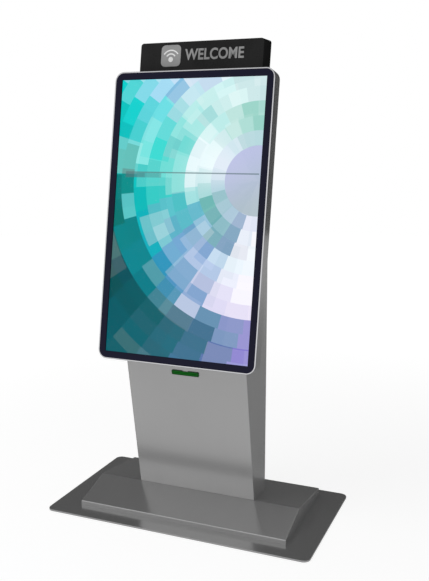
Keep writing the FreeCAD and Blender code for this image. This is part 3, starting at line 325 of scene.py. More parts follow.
class Surface(Shader):
    """A material with a Principled surface."""

    def __init__(self, name: str, **settings: float | Colour) -> None:
        """Makes the material.

        Args:
            name: the material's name.
            settings: steady values, an underscore for each space of the socket's name.
        """
        self.material = bpy.data.materials.new(name)
        self.material.use_nodes = True
        super().__init__(self.material.node_tree)
        named = {key.replace("_", " "): value for key, value in settings.items()}
        self.shading = self.node("ShaderNodeBsdfPrincipled", None, named)
        self.node("ShaderNodeOutputMaterial", None, {"Surface": self.shading})

    def feed(self, socket: str, value: Value) -> None:
        """Links a varying value to the Principled surface.

        Args:
            socket: the socket's name.
            value: what feeds it.
        """
        self.tree.links.new(value.socket, self.shading.socket.node.inputs[socket])


# -------------------------------------------------------------------- finishes


@dataclass(frozen=True)
class SatinCoat:
    """A satin metallic coat on steel: fine flake, faint cloudiness and handling marks."""

    name: str
    colour: Colour
    roughness: float
    metal: float = 0.7
    flake: float = 0.05
    clouds: float = 0.04
    peel: float = 0.05
    flake_scale: float = 2600.0
    cloud_scale: float = 3.5
    smear_scale: float = 14.0
    peel_scale: float = 420.0
    peel_depth: float = 0.0004

    def make(self) -> bpy.types.Material:
        """Builds the material."""
        coat = Surface(self.name, Metallic=self.metal, Specular_IOR_Level=0.3)
        flake = coat.noise(self.flake_scale, 1.0) - 0.5
        cloud = coat.noise(self.cloud_scale, 3.0) - 0.5
        smear = coat.noise(self.smear_scale, 4.0, (1.0, 1.0, 0.35)).ease(0.5, 0.8)
        shade = 1.0 + flake * self.flake + cloud * self.clouds - smear * 0.02
        coat.feed("Base Color", coat.mix(shade * 0.5, grey(0.0), scaled(self.colour, 2.0)))
        coat.feed("Roughness", self.roughness + cloud * 0.04 + smear * 0.03)
        peel = coat.noise(self.peel_scale, 2.0)
        coat.feed("Normal", coat.bump(peel, self.peel, self.peel_depth))
        return coat.material


@dataclass(frozen=True)
class BrushedMetal:
    """Bare or plated metal with a grain along one axis."""

    name: str
    colour: Colour
    roughness: float
    grain: Spot = (1.0, 40.0, 40.0)
    spangle: float = 0.0
    line_scale: float = 60.0
    spangle_scale: float = 90.0
    line_depth: float = 0.0002

    def make(self) -> bpy.types.Material:
        """Builds the material."""
        metal = Surface(self.name, Metallic=1.0)
        lines = metal.noise(self.line_scale, 3.0, self.grain)
        base = metal.mix(lines.ease(0.25, 0.75), scaled(self.colour, 0.72), self.colour)
        if self.spangle:
            spots = metal.node("ShaderNodeTexVoronoi", None,
                               {"Vector": metal.place(), "Scale": self.spangle_scale}, "Color")
            base = metal.mix(self.spangle, base, metal.mix(1.0, base, spots, "MULTIPLY"))
        metal.feed("Base Color", base)
        metal.feed("Roughness", self.roughness + (lines - 0.5) * 0.16)
        metal.feed("Normal", metal.bump(lines, 0.12, self.line_depth))
        return metal.material


@dataclass(frozen=True)
class MouldedPlastic:
    """Moulded plastic or rubber with a fine spark-eroded grain."""

    name: str
    colour: Colour
    roughness: float
    grain: float = 0.2
    scale: float = 1500.0
    clouds: float = 0.12
    gloss: float = 0.4
    cloud_scale: float = 9.0
    grain_depth: float = 0.0003

    def make(self) -> bpy.types.Material:
        """Builds the material."""
        plastic = Surface(self.name, Specular_IOR_Level=self.gloss)
        grain = plastic.noise(self.scale, 2.0)
        cloud = plastic.noise(self.cloud_scale, 3.0)
        light = tuple(min(1.0, part + 0.004) for part in scaled(self.colour, 1.0 + self.clouds))
        deep = scaled(self.colour, 1.0 - self.clouds)
        plastic.feed("Base Color", plastic.mix(cloud.ease(0.3, 0.7), deep, light))
        plastic.feed("Roughness", self.roughness + (grain - 0.5) * 0.12 + (cloud - 0.5) * 0.08)
        plastic.feed("Normal", plastic.bump(grain, self.grain, self.grain_depth))
        return plastic.material


@dataclass(frozen=True)
class PaperStock:
    """Paper or card with fibres, and faint turns where it is wound."""

    name: str
    colour: Colour
    turns: float = 0.0
    turns_to_metre: float = 600.0
    fibre_scale: float = 700.0
    fibre_depth: float = 0.0002

    def make(self) -> bpy.types.Material:
        """Builds the material."""
        stock = Surface(self.name, Roughness=0.75, Specular_IOR_Level=0.3)
        fibre = stock.noise(self.fibre_scale, 4.0, (0.4, 1.0, 1.0))
        shade = stock.mix(fibre.ease(0.3, 0.7), scaled(self.colour, 0.9), self.colour)
        if self.turns:
            _, back, height = stock.axes()
            low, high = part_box("paper_roll")
            middle = (low + high) / 2
            back, height = back - middle.y, height - middle.z
            reach = (back * back + height * height).maths("SQRT")
            wave = (reach * (math.tau * self.turns_to_metre)).maths("SINE") * 0.5 + 0.5
            shade = stock.mix(wave * self.turns, shade, scaled(self.colour, 0.55))
        stock.feed("Base Color", shade)
        stock.feed("Normal", stock.bump(fibre, 0.15, self.fibre_depth))
        return stock.material


@dataclass(frozen=True)
class CircuitBoard:
    """Solder mask over copper lines."""

    name: str
    colour: Colour
    lanes_to_metre: float = 220.0
    rows_to_metre: float = 180.0
    block_scale: float = 55.0
    line_depth: float = 0.0001

    def make(self) -> bpy.types.Material:
        """Builds the material."""
        board = Surface(self.name, Roughness=0.35, Coat_Weight=0.3)
        across, up, _ = board.on_glass()
        lanes = (across * self.lanes_to_metre).maths("FRACT").over(0.62)
        rows = (up * self.rows_to_metre).maths("FRACT").over(0.7)
        blocks = board.node("ShaderNodeTexVoronoi", {"distance": "CHEBYCHEV"},
                            {"Vector": board.place(), "Scale": self.block_scale}, "Color")
        pick = board.node("ShaderNodeSeparateColor", None, {"Color": blocks})
        lines = lanes * pick.over(0.5) + rows * pick.under(0.3)
        board.feed("Base Color", board.mix(lines * 0.8, self.colour, scaled(self.colour, 1.9)))
        board.feed("Normal", board.bump(lines, 0.2, self.line_depth))
        return board.material


@dataclass(frozen=True)
class PrintedGlass:
    """Clear touch glass with a dark blue border printed round its window."""

    name: str = "printed_glass"
    border: Colour = tone(9, 9, 38)
    half_window: float = 0.2615
    window_see_through: float = 0.96

    def make(self) -> bpy.types.Material:
        """Builds the material."""
        glass = Surface(self.name, IOR=1.5, Specular_IOR_Level=0.14)
        across, up, _ = glass.on_glass()
        middle, half = (PICTURE_FOOT + PICTURE_TOP) / 2, (PICTURE_TOP - PICTURE_FOOT) / 2
        window = across.size().under(self.half_window) * (up - middle).size().under(half)
        smear = glass.noise(11.0, 4.0)
        tint = glass.mix(glass.noise(30.0, 2.0) * 0.2, self.border, scaled(self.border, 1.5))
        glass.feed("Base Color", glass.mix(window, tint, grey(0.004)))
        glass.feed("Roughness", 0.06 + smear * 0.05)
        glass.feed("Alpha", 1.0 - window * self.window_see_through)
        return glass.material


class MosaicBand(Enum):
    """The picture's rings of colour outwards from its disc.

    Each holds where it fades in, as distances from the disc's centre, and then the tones of its
    bearings, from straight up at 0 round by the left to straight down at 1.
    """

    NEAR = ((0.0, 0.0), (
        (0.0, (150, 208, 196)), (0.15, (164, 214, 204)), (0.24, (218, 244, 244)),
        (0.40, (228, 246, 250)), (0.54, (184, 226, 228)), (0.60, (112, 186, 178)),
        (0.76, (122, 174, 184)), (0.88, (132, 160, 192)), (0.93, (238, 240, 250)),
        (1.0, (252, 250, 254))))
    MIDDLE = ((0.235, 0.265), (
        (0.0, (226, 246, 246)), (0.16, (200, 236, 234)), (0.30, (150, 226, 222)),
        (0.44, (90, 216, 208)), (0.53, (50, 204, 196)), (0.62, (96, 196, 206)),
        (0.70, (104, 172, 206)), (0.78, (122, 160, 210)), (0.86, (204, 218, 242)),
        (0.92, (242, 242, 252)), (1.0, (248, 245, 252))))
    OUTER = ((0.355, 0.395), (
        (0.0, (240, 252, 254)), (0.17, (222, 238, 252)), (0.25, (150, 190, 234)),
        (0.33, (110, 220, 226)), (0.42, (0, 216, 208)), (0.55, (0, 196, 190)),
        (0.64, (0, 176, 186)), (0.74, (40, 148, 186)), (0.82, (92, 146, 196)),
        (0.89, (214, 212, 240)), (1.0, (236, 228, 246))))
    EDGE = ((0.445, 0.470), (
        (0.0, (238, 252, 252)), (0.17, (224, 238, 252)), (0.27, (150, 214, 240)),
        (0.36, (0, 210, 206)), (0.46, (0, 176, 168)), (0.55, (0, 128, 122)),
        (0.66, (0, 130, 136)), (0.76, (0, 134, 150)), (0.86, (88, 140, 168)),
        (0.94, (122, 150, 188)), (1.0, (150, 146, 206))))
    FAR = ((0.515, 0.545), (
        (0.0, (238, 252, 252)), (0.17, (222, 238, 250)), (0.27, (130, 220, 230)),
        (0.35, (0, 208, 204)), (0.46, (0, 170, 164)), (0.54, (0, 112, 106)),
        (0.62, (0, 92, 92)), (0.70, (0, 66, 72)), (0.78, (0, 92, 100)),
        (0.86, (58, 108, 130)), (0.93, (80, 116, 160)), (1.0, (124, 112, 200))))

    @property
    def fade(self) -> tuple[float, float]:
        """Where the band starts and where it is full."""
        return self.value[0]

    @property
    def stops(self) -> Stops:
        """The band's tones along its bearings."""
        return [(place, tone(*parts)) for place, parts in self.value[1]]


@dataclass(frozen=True)
class LitPicture:
    """A lit mosaic of cells that turn round a pale disc, with a thin rule and a blank tag."""

    name: str = "lit_picture"
    centre_across: float = 0.252
    centre_up: float = 0.618
    disc: float = 0.115
    ring: float = 0.0475
    ring_stagger: float = 0.37
    jitter: float = 0.05
    front_depth: float = 0.0062
    rule_up: float = 0.640
    rule_half: float = 0.0022
    rule_left: float = -0.228
    rule_right: float = 0.255
    tag_drop: float = 0.010
    tag_half: float = 0.0075
    tag_right: float = -0.093
    cap_right: float = -0.155

    def make(self) -> bpy.types.Material:
        """Builds the material."""
        panel = Surface(self.name, Base_Color=(0.01, 0.01, 0.012, 1.0), Roughness=0.5,
                        Specular_IOR_Level=0.0, Emission_Strength=1.12)
        across, up, depth = panel.on_glass()
        side, rise = across - self.centre_across, up - self.centre_up
        reach = (side * side + rise * rise).maths("SQRT")
        turn = panel.maths("ARCTAN2", side.size(), rise) / math.pi
        picture = self._cells(panel, reach, turn)
        picture = self._wedges(panel, reach, turn, picture)
        picture = self._disc(panel, side, rise, reach, picture)
        picture = self._rule(panel, across, up, picture)
        front = depth.under(self.front_depth)
        panel.feed("Emission Color", panel.mix(front, grey(0.0), picture))
        return panel.material

    @staticmethod
    def _chance(panel: Shader, first: Value, second: Value, seed: float) -> Value:
        """Draws one steady chance for each cell.

        Args:
            panel: the shader.
            first: the cell's number along its ring.
            second: the ring's number.
            seed: which draw this is.

        Returns:
            A value from 0 to 1.
        """
        key = panel.node("ShaderNodeCombineXYZ", None, {0: first, 1: second, 2: seed})
        return panel.node("ShaderNodeTexWhiteNoise", {"noise_dimensions": "3D"}, {"Vector": key})

    def _cells(self, panel: Shader, reach: Value, turn: Value) -> Value:
        """Colours the cells by ring and bearing.

        Args:
            panel: the shader.
            reach: distance from the centre.
            turn: bearing, 0 straight up to 1 straight down by the left.

        Returns:
            The colour.
        """
        ring = ((reach - self.disc) / self.ring).floor()
        count = 12.0 + ring.maths("MAXIMUM", 0.0) * 0.8
        cell = (turn * count + ring * self.ring_stagger).floor()
        bearing = (cell + 0.5 - ring * self.ring_stagger) / count
        one = self._chance(panel, cell, ring, 3.7)
        two = self._chance(panel, cell, ring, 8.3)
        three = self._chance(panel, cell, ring, 5.1)
        bearing = bearing + (one - 0.5) * self.jitter
        stand = ring * self.ring + self.disc + self.ring / 2 + (two - 0.5) * self.jitter
        nearest, *others = MosaicBand
        colour = panel.ramp(bearing, nearest.stops)
        for band in others:
            colour = panel.mix(stand.ease(*band.fade), colour, panel.ramp(bearing, band.stops))
        lift = three.ease(0.70, 1.0) * (0.30 - stand.ease(0.38, 0.48) * 0.18)
        colour = panel.mix(lift, colour, tone(214, 250, 252))
        return panel.mix((1.0 - three.ease(0.0, 0.30)) * 0.16, colour, tone(0, 118, 140))

    def _wedges(self, panel: Shader, reach: Value, turn: Value, colour: Value) -> Value:
        """Lays wide faint wedges and a soft glow over the cells.

        Args:
            panel: the shader.
            reach: distance from the centre.
            turn: bearing.
            colour: the colour so far.

        Returns:
            The colour.
        """
        band = (reach / (2.3 * self.ring)).floor()
        wedge = (turn * 13.0 + band * 0.41).floor()
        chance = self._chance(panel, wedge, band, 1.9)
        colour = panel.mix(chance.ease(0.60, 0.95) * 0.14, colour, tone(255, 255, 255))
        colour = panel.mix((1.0 - chance.ease(0.05, 0.4)) * 0.08, colour, tone(0, 130, 150))
        glow = 1.0 - reach.ease(0.12, 0.30)
        left = turn.ease(0.2, 0.35) * (1.0 - turn.ease(0.45, 0.6))
        return panel.mix(glow * left * 0.45, colour, tone(250, 253, 255))

    def _disc(self, panel: Shader, side: Value, rise: Value, reach: Value, colour: Value) -> Value:
        """Lays the pale disc and the soft ring round it.

        Args:
            panel: the shader.
            side: distance right of the centre.
            rise: distance above it.
            reach: distance from it.
            colour: the colour so far.

        Returns:
            The colour.
        """
        tilt = (rise - side * 0.6).ease(-0.11, 0.15)
        pale = panel.mix(tilt, tone(172, 188, 196), tone(186, 190, 226))
        halo = 1.0 - reach.over(self.disc + self.ring)
        colour = panel.mix(halo * 0.38, colour, tone(198, 206, 232))
        return panel.mix((1.0 - reach.ease(self.disc - 0.002, self.disc)) * 0.93, colour, pale)

    def _rule(self, panel: Shader, across: Value, up: Value, colour: Value) -> Value:
        """Draws the thin rule and the blank tag under its left end.

        Args:
            panel: the shader.
            across: distance right of the middle of the glass.
            up: distance up the glass.
            colour: the colour so far.

        Returns:
            The colour.
        """
        inside = across.over(self.rule_left)
        level = (up - self.rule_up).size().under(self.rule_half)
        line = level * inside * across.under(self.rule_right)
        drop = up - (self.rule_up - self.tag_drop)
        tag = drop.size().under(self.tag_half) * inside * across.under(self.tag_right)
        cap = tag * across.under(self.cap_right)
        colour = panel.mix(tag * 0.45, colour, tone(84, 128, 130))
        colour = panel.mix(cap * 0.35, colour, tone(70, 96, 104))
        return panel.mix(line * 0.72, colour, tone(92, 116, 120))


@dataclass(frozen=True)
class GreenLens:
    """Deep green translucent plastic with a painted glow: it gives off a faint green light of its
    own and is painted brighter along its middle, deeper towards its edges and ends.
    """

    name: str = "green_lens"

    def make(self) -> bpy.types.Material:
        """Builds the material."""
        lens = Surface(self.name, Roughness=0.45, Specular_IOR_Level=0.15, Emission_Strength=1.0)
        across, _, height = lens.axes()
        low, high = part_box("slot_bezel")
        centre = ((height - (low.z + high.z) / 2) / ((high.z - low.z) / 2)).size()
        ends = (across / (high.x - low.x) * 2.0).size().ease(0.75, 1.0)
        # Painted glow: the middle of the lens is painted brighter in base colour and in emission,
        # fading to its edges and ends, though no lamp lights it.
        core = (1.0 - centre.ease(0.2, 1.0)) * (1.0 - ends * 0.8)
        cloud = lens.noise(60.0, 3.0)
        glow = core * (0.7 + cloud * 0.5)
        lens.feed("Base Color", lens.mix(glow, tone(2, 52, 12), tone(6, 96, 14)))
        lens.feed("Emission Color", lens.mix(core, tone(0, 24, 2), tone(0, 48, 4)))
        lens.feed("Normal", lens.bump(cloud, 0.1, 0.0003))
        return lens.material


class Finish(Enum):
    """The finishes of the kiosk, each with the material slot that it belongs to."""

    # Painted shade: the floor plate's coat is a little deeper than the cover's, standing in for the
    # dark look of its flat top under the sky.
    BASE_STEEL = ("base_steel", SatinCoat(
        "base_coat_painted_shade", grey(0.46), 0.20, metal=0.72, flake=0.05, clouds=0.05))
    COVER_STEEL = ("cover_steel", SatinCoat(
        "cover_coat", grey(0.55), 0.18, metal=0.72, flake=0.05, clouds=0.05))
    COLUMN_SILVER = ("satin_silver", SatinCoat(
        "column_coat", grey(0.50), 0.22, metal=0.70, flake=0.06, clouds=0.04))
    HOUSING_SILVER = ("satin_silver", SatinCoat(
        "housing_coat", grey(0.50), 0.10, metal=0.85, flake=0.03, clouds=0.03, peel=0.02))
    RIM_SILVER = ("bright_silver", SatinCoat(
        "rim_coat", (0.58, 0.58, 0.60), 0.16, metal=1.0, flake=0.03, clouds=0.03, peel=0.02))
    ZINC = ("zinc", BrushedMetal("bright_zinc", (0.62, 0.63, 0.66), 0.28))
    ZINC_PLATE = ("zinc_plate", BrushedMetal(
        "zinc_sheet", (0.60, 0.61, 0.63), 0.36, grain=(1.0, 1.0, 1.0), spangle=0.25))
    CHROME = ("chrome", BrushedMetal(
        "chrome_plate", (0.75, 0.75, 0.76), 0.09, grain=(30.0, 1.0, 30.0)))
    BRASS = ("brass", BrushedMetal("tinned_brass", (0.78, 0.65, 0.35), 0.25))
    NYLON = ("nylon", MouldedPlastic("natural_nylon", (0.82, 0.80, 0.74), 0.42, grain=0.1))
    BLACK_PLASTIC = ("black_plastic", MouldedPlastic(
        "black_moulding", grey(0.020), 0.42, grain=0.25))
    BLACK_ALUMINIUM = ("black_aluminium", SatinCoat(
        "black_anodised", (0.045, 0.045, 0.05), 0.38, metal=0.9, flake=0.10))
    PRINTER_GREY = ("printer_grey", MouldedPlastic(
        "grey_moulding", (0.17, 0.18, 0.19), 0.45, grain=0.25))
    RUBBER = ("rubber", MouldedPlastic(
        "black_rubber", grey(0.018), 0.62, grain=0.3, scale=900.0))
    PAPER = ("paper", PaperStock("thermal_paper", (0.88, 0.88, 0.85), turns=0.22))
    CARDBOARD = ("cardboard", PaperStock("core_card", (0.46, 0.33, 0.20)))
    GREEN = ("green_plastic", GreenLens())
    GLASS = ("touch_glass", PrintedGlass())
    PICTURE = ("screen", LitPicture())
    BOARD = ("circuit_board", CircuitBoard("solder_mask", (0.015, 0.12, 0.05)))
    BLACK_STEEL = ("black_steel", MouldedPlastic(
        "black_satin_paint", grey(0.006), 0.60, grain=0.1, scale=1100.0, gloss=0.04))
    BLACK_ACRYLIC = ("black_acrylic", MouldedPlastic(
        "black_acrylic_sheet", grey(0.010), 0.28, grain=0.05, scale=400.0, clouds=0.15, gloss=0.14))
    GREY_PRINT = ("black_acrylic", MouldedPlastic("grey_print", grey(0.34), 0.5, grain=0.1))
    WHITE_PRINT = ("black_acrylic", MouldedPlastic(
        "white_print", grey(0.95), 0.45, grain=0.08, clouds=0.02))
    LAMP_GREEN = ("green_plastic", MouldedPlastic(
        "green_lamp", (0.05, 0.55, 0.12), 0.25, grain=0.05))

    @property
    def slot(self) -> str:
        """The record's material slot."""
        return self.value[0]

    def material(self) -> bpy.types.Material:
        """Returns the finish's material, made once."""
        recipe = self.value[1]
        return bpy.data.materials.get(recipe.name) or recipe.make()


def dress(finish: Finish, *nodes: str) -> None:
    """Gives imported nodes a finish.

    Args:
        finish: the finish.
        nodes: the nodes' names.
    """
    for name in nodes:
        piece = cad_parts[name]
        for slot in piece.material_slots:
            slot.material = finish.material()
        LOG.info("dressed %s in %s", name, finish.name)


# ---------------------------------------------------------------- modelling


class Workpiece:
    """A new piece on the bench, shaped with edit-mode tools."""

    def __init__(self, name: str) -> None:
        """Takes the active object as the piece.

        Args:
            name: the piece's name.
        """
        self.thing = bpy.context.object
        self.thing.name = name
        self.thing.data.name = name

    @staticmethod
    def clear() -> None:
        """Leaves edit mode and selects nothing."""
        if bpy.context.object and bpy.context.object.mode != "OBJECT":
            bpy.ops.object.mode_set(mode="OBJECT")
        bpy.ops.object.select_all(action="DESELECT")

    @classmethod
    def block(cls, name: str, low: Spot, high: Spot) -> "Workpiece":
        """Adds a block between two corners.

        Args:
            name: the piece's name.
            low: lowest corner.
            high: highest corner.

        Returns:
            The piece.
        """
        cls.clear()
        low, high = Vector(low), Vector(high)
        bpy.ops.mesh.primitive_cube_add(size=1.0, location=(low + high) / 2, scale=high - low)
        bpy.ops.object.transform_apply(location=True, rotation=True, scale=True)
        return cls(name)

    @classmethod
    def rod(cls, name: str, centre: Spot, radius: float, length: float, axis: str = "Z",
            sides: int = 32) -> "Workpiece":
        """Adds a rod about an axis.

        Args:
            name: the piece's name.
            centre: its middle.
            radius: its radius.
            length: its length.
            axis: X, Y or Z.
            sides: how many sides.

        Returns:
            The piece.
        """
        cls.clear()
        bpy.ops.mesh.primitive_cylinder_add(vertices=sides, radius=radius, depth=length,
                                            location=centre, rotation=AXIS_TURNS[axis])
        bpy.ops.object.transform_apply(location=True, rotation=True, scale=True)
        return cls(name)

    @classmethod
    def ring(cls, name: str, centre: Spot, radius: float, wire: float, axis: str = "Z",
             sides: int = 48) -> "Workpiece":
        """Adds a wire ring about an axis.

        Args:
            name: the piece's name.
            centre: its middle.
            radius: radius of the wire's middle line.
            wire: radius of the wire.
            axis: X, Y or Z.
            sides: sides round the ring.

        Returns:
            The piece.
        """
        cls.clear()
        bpy.ops.mesh.primitive_torus_add(major_segments=sides, minor_segments=8,
                                         major_radius=radius, minor_radius=wire,
                                         location=centre, rotation=AXIS_TURNS[axis])
        bpy.ops.object.transform_apply(location=True, rotation=True, scale=True)
        return cls(name)

    def alone(self) -> None:
        """Selects this piece only, in object mode."""
        self.clear()
        self.thing.select_set(True)
        bpy.context.view_layer.objects.active = self.thing

    def work(self) -> bmesh.types.BMesh:
        """Opens the piece in edit mode with nothing selected."""
        bpy.context.view_layer.objects.active = self.thing
        if self.thing.mode != "EDIT":
            self.alone()
            bpy.ops.object.mode_set(mode="EDIT")
        bpy.ops.mesh.select_all(action="DESELECT")
        return bmesh.from_edit_mesh(self.thing.data)

    def pick_faces(self, wanted: Callable[[bmesh.types.BMFace], bool]) -> "Workpiece":
        """Selects faces.

        Args:
            wanted: says whether a face is wanted.

        Returns:
            This piece.
        """
        bpy.context.tool_settings.mesh_select_mode = (False, False, True)
        mesh = self.work()
        for face in mesh.faces:
            face.select_set(wanted(face))
        bmesh.update_edit_mesh(self.thing.data)
        return self

    def pick_edges(self, wanted: Callable[[bmesh.types.BMEdge], bool]) -> "Workpiece":
        """Selects edges.

        Args:
            wanted: says whether an edge is wanted.

        Returns:
            This piece.
        """
        bpy.context.tool_settings.mesh_select_mode = (False, True, False)
        mesh = self.work()
        for edge in mesh.edges:
            edge.select_set(wanted(edge))
        bmesh.update_edit_mesh(self.thing.data)
        return self

    def facing(self, way: Spot) -> "Workpiece":
        """Selects the faces that face one way."""
        aim = Vector(way).normalized()
        return self.pick_faces(lambda face: face.normal.dot(aim) > SAME_WAY_COSINE)

    def along(self, way: Spot) -> "Workpiece":
        """Selects the edges that run one way."""
        aim = Vector(way).normalized()

        def runs(edge: bmesh.types.BMEdge) -> bool:
            """Says whether an edge runs that way."""
            span = edge.verts[1].co - edge.verts[0].co
            return abs(span.normalized().dot(aim)) > SAME_WAY_COSINE

        return self.pick_edges(runs)

    def bevel(self, width: float, segments: int = 3) -> "Workpiece":
        """Rounds the selected edges."""
        bpy.ops.mesh.bevel(offset=width, segments=segments, affect="EDGES")
        return self

    def inset(self, width: float, single: bool = False) -> "Workpiece":
        """Insets the selected faces."""
        bpy.ops.mesh.inset(thickness=width, use_individual=single)
        return self

    def push(self, move: Spot) -> "Workpiece":
        """Extrudes the selected faces and moves them."""
        bpy.ops.mesh.extrude_region_move(TRANSFORM_OT_translate={"value": tuple(move)})
        return self

    def shift(self, move: Spot) -> "Workpiece":
        """Moves the selected faces."""
        bpy.ops.transform.translate(value=tuple(move))
        return self

    def soften(self, width: float, segments: int = 2) -> "Workpiece":
        """Rounds every sharp edge."""
        self.pick_edges(lambda edge: len(edge.link_faces) == 2
                        and edge.calc_face_angle(0.0) > SHARP_ANGLE)
        return self.bevel(width, segments)

    def hollow(self, way: Spot, wall: float) -> "Workpiece":
        """Cuts a hole with an even wall right through the piece.

        Args:
            way: the hole's direction.
            wall: what stays round the hole.

        Returns:
            This piece.
        """
        for side in (Vector(way), -Vector(way)):
            self.facing(side).inset(wall)
            bpy.ops.mesh.delete(type="FACE")
        self.pick_edges(lambda edge: len(edge.link_faces) == 1)
        bpy.ops.mesh.bridge_edge_loops()
        return self

    def take(self, others: Iterable["Workpiece"]) -> "Workpiece":
        """Joins other pieces into this one.

        Args:
            others: the pieces to take in.

        Returns:
            This piece.
        """
        self.alone()
        for other in others:
            other.thing.select_set(True)
        bpy.ops.object.join()
        return self

    @classmethod
    def joined(cls, name: str, pieces: Sequence["Workpiece"]) -> "Workpiece":
        """Joins a row of pieces under one name.

        Args:
            name: the joined piece's name.
            pieces: the pieces.

        Returns:
            The joined piece.
        """
        first, *others = pieces
        first.thing.name = name
        return first.take(others)

    def placed(self, matrix: Matrix) -> "Workpiece":
        """Moves the piece by a matrix and applies it.

        Args:
            matrix: where it goes.

        Returns:
            This piece.
        """
        self.alone()
        self.thing.matrix_world = matrix @ self.thing.matrix_world
        bpy.ops.object.transform_apply(location=True, rotation=True, scale=True)
        return self

    def done(self, body: str, finish: Finish, smooth: float = 35.0) -> None:
        """Closes the mesh, dresses the piece and mounts it.

        Args:
            body: the body it moves with.
            finish: its finish.
            smooth: angle below which edges look smooth, in degrees.
        """
        self.work()
        bpy.ops.mesh.select_all(action="SELECT")
        bpy.ops.mesh.remove_doubles(threshold=WELD_DISTANCE)
        bpy.ops.mesh.normals_make_consistent(inside=False)
        self.alone()
        bpy.ops.object.shade_smooth_by_angle(angle=math.radians(smooth))
        self.thing.data.materials.clear()
        self.thing.data.materials.append(finish.material())
        self.clear()
        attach(self.thing, body)
        LOG.info("built %s on %s", self.thing.name, body)


def about(centre: Vector, degrees: float, axis: str) -> Matrix:
    """Makes a turn about a line through a spot.

    Args:
        centre: the spot.
        degrees: the angle.
        axis: X, Y or Z.

    Returns:
        The turn.
    """
    turn = Matrix.Rotation(math.radians(degrees), 4, axis)
    return Matrix.Translation(centre) @ turn @ Matrix.Translation(-centre)


# ------------------------------------------------------------- sub-assemblies


@dataclass
class FloorStand:
    """The floor plate, its two-part cover and the foot of the column."""

    grommet_wall: float = 0.003
    grommet_rise: float = 0.004
    grommet_gap: float = 0.0002
    floor_gap: float = 0.001
    entry_radius: float = 0.030
    entry_y: float = 0.025
    stud_spot: tuple[float, float] = (-0.130, 0.110)
    washer_radius: float = 0.0065
    washer_sheet: float = 0.0012
    nut_radius: float = 0.0058
    nut_height: float = 0.005
    stud_radius: float = 0.0029
    stud_length: float = 0.016
    stud_lift: float = 0.0005

    def build(self) -> None:
        """Dresses the stand, lines its cable entry and adds the earth stud."""
        dress(Finish.BASE_STEEL, "base_plate")
        dress(Finish.COVER_STEEL, "base_cover_front", "base_cover_rear")
        dress(Finish.ZINC, "foot_bolts")
        dress(Finish.ZINC_PLATE, "column_foot")
        self._grommet()
        self._earth_stud()

    def _grommet(self) -> None:
        """Makes the rubber sleeve of the cable entry, which stands up over the plate."""
        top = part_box("base_plate")[1].z + self.grommet_rise
        middle = (top + self.floor_gap) / 2
        sleeve = Workpiece.rod("entry_grommet", (0.0, self.entry_y, middle),
                               self.entry_radius - self.grommet_gap, top - self.floor_gap, "Z", 64)
        sleeve.hollow((0, 0, 1), self.grommet_wall - self.grommet_gap)
        sleeve.soften(0.0006)
        sleeve.done("frame", Finish.RUBBER)

    def _earth_stud(self) -> None:
        """Makes the earth stud on the plate: a washer, a nut and a plain end."""
        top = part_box("base_plate")[1].z
        x, y = self.stud_spot
        washer = Workpiece.rod("earth_stud", (x, y, top + self.washer_sheet / 2),
                               self.washer_radius, self.washer_sheet)
        nut = Workpiece.rod("stud_nut", (x, y, top + self.washer_sheet + self.nut_height / 2),
                            self.nut_radius, self.nut_height, "Z", 6)
        nut.soften(0.0005)
        stud = Workpiece.rod("stud_end", (x, y, top + self.stud_lift + self.stud_length / 2),
                             self.stud_radius, self.stud_length, "Z", 24)
        stud.facing((0, 0, 1)).inset(0.0006).shift((0.0, 0.0, 0.0008))
        washer.take([nut, stud]).done("frame", Finish.BRASS)


@dataclass
class Column:
    """The leaning column with its fixed rear panels, shelves and fasteners."""

    def build(self) -> None:
        """Dresses the column."""
        dress(Finish.COLUMN_SILVER, "column_shell", "rear_jambs", "column_top_cap",
              "lower_rear_panel", "upper_rear_panel")
        dress(Finish.ZINC_PLATE, "equipment_shelf", "printer_shelf", "pivot_brackets",
              "lock_keeper")
        dress(Finish.ZINC, "shelf_screws", "case_screws")
        dress(Finish.NYLON, "pivot_bushes")


@dataclass
class RearDoor:
    """The service door on its pivots, with its cam lock, foam seal and stiffener."""

    seal_width: float = 0.008
    seal_depth: float = 0.005
    seal_inset: float = 0.016
    sheet: float = 0.0015
    hat_foot: float = 0.700
    hat_top: float = 0.760
    hat_end_gap: float = 0.030
    hat_flange: float = 0.012
    hat_rise: float = 0.007

    def build(self) -> None:
        """Dresses the door and adds its seal and inside stiffener."""
        dress(Finish.COLUMN_SILVER, "rear_door")
        dress(Finish.ZINC, "door_pivot_pins", "lock_cam")
        dress(Finish.CHROME, "lock_body", "lock_plug")
        self._seal()
        self._stiffener()

    def _seal(self) -> None:
        """Lays a foam seal round the inside of the door."""
        low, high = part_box("rear_door")
        edge, back = self.seal_inset, high.y - self.sheet
        seal = Workpiece.block("door_seal", (low.x + edge, back - self.seal_depth, low.z + edge),
                               (high.x - edge, back, high.z - edge))
        seal.hollow((0, -1, 0), self.seal_width)
        seal.soften(0.0012)
        seal.done("door", Finish.RUBBER)

    def _stiffener(self) -> None:
        """Fixes a hat-section stiffener across the inside of the door."""
        low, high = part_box("rear_door")
        back = high.y - self.sheet
        hat = Workpiece.block("door_stiffener",
                              (low.x + self.hat_end_gap, back - self.sheet, self.hat_foot),
                              (high.x - self.hat_end_gap, back, self.hat_top))
        hat.facing((0, -1, 0)).inset(self.hat_flange).push((0.0, -self.hat_rise, 0.0))
        hat.soften(0.0008)
        hat.done("door", Finish.ZINC_PLATE)


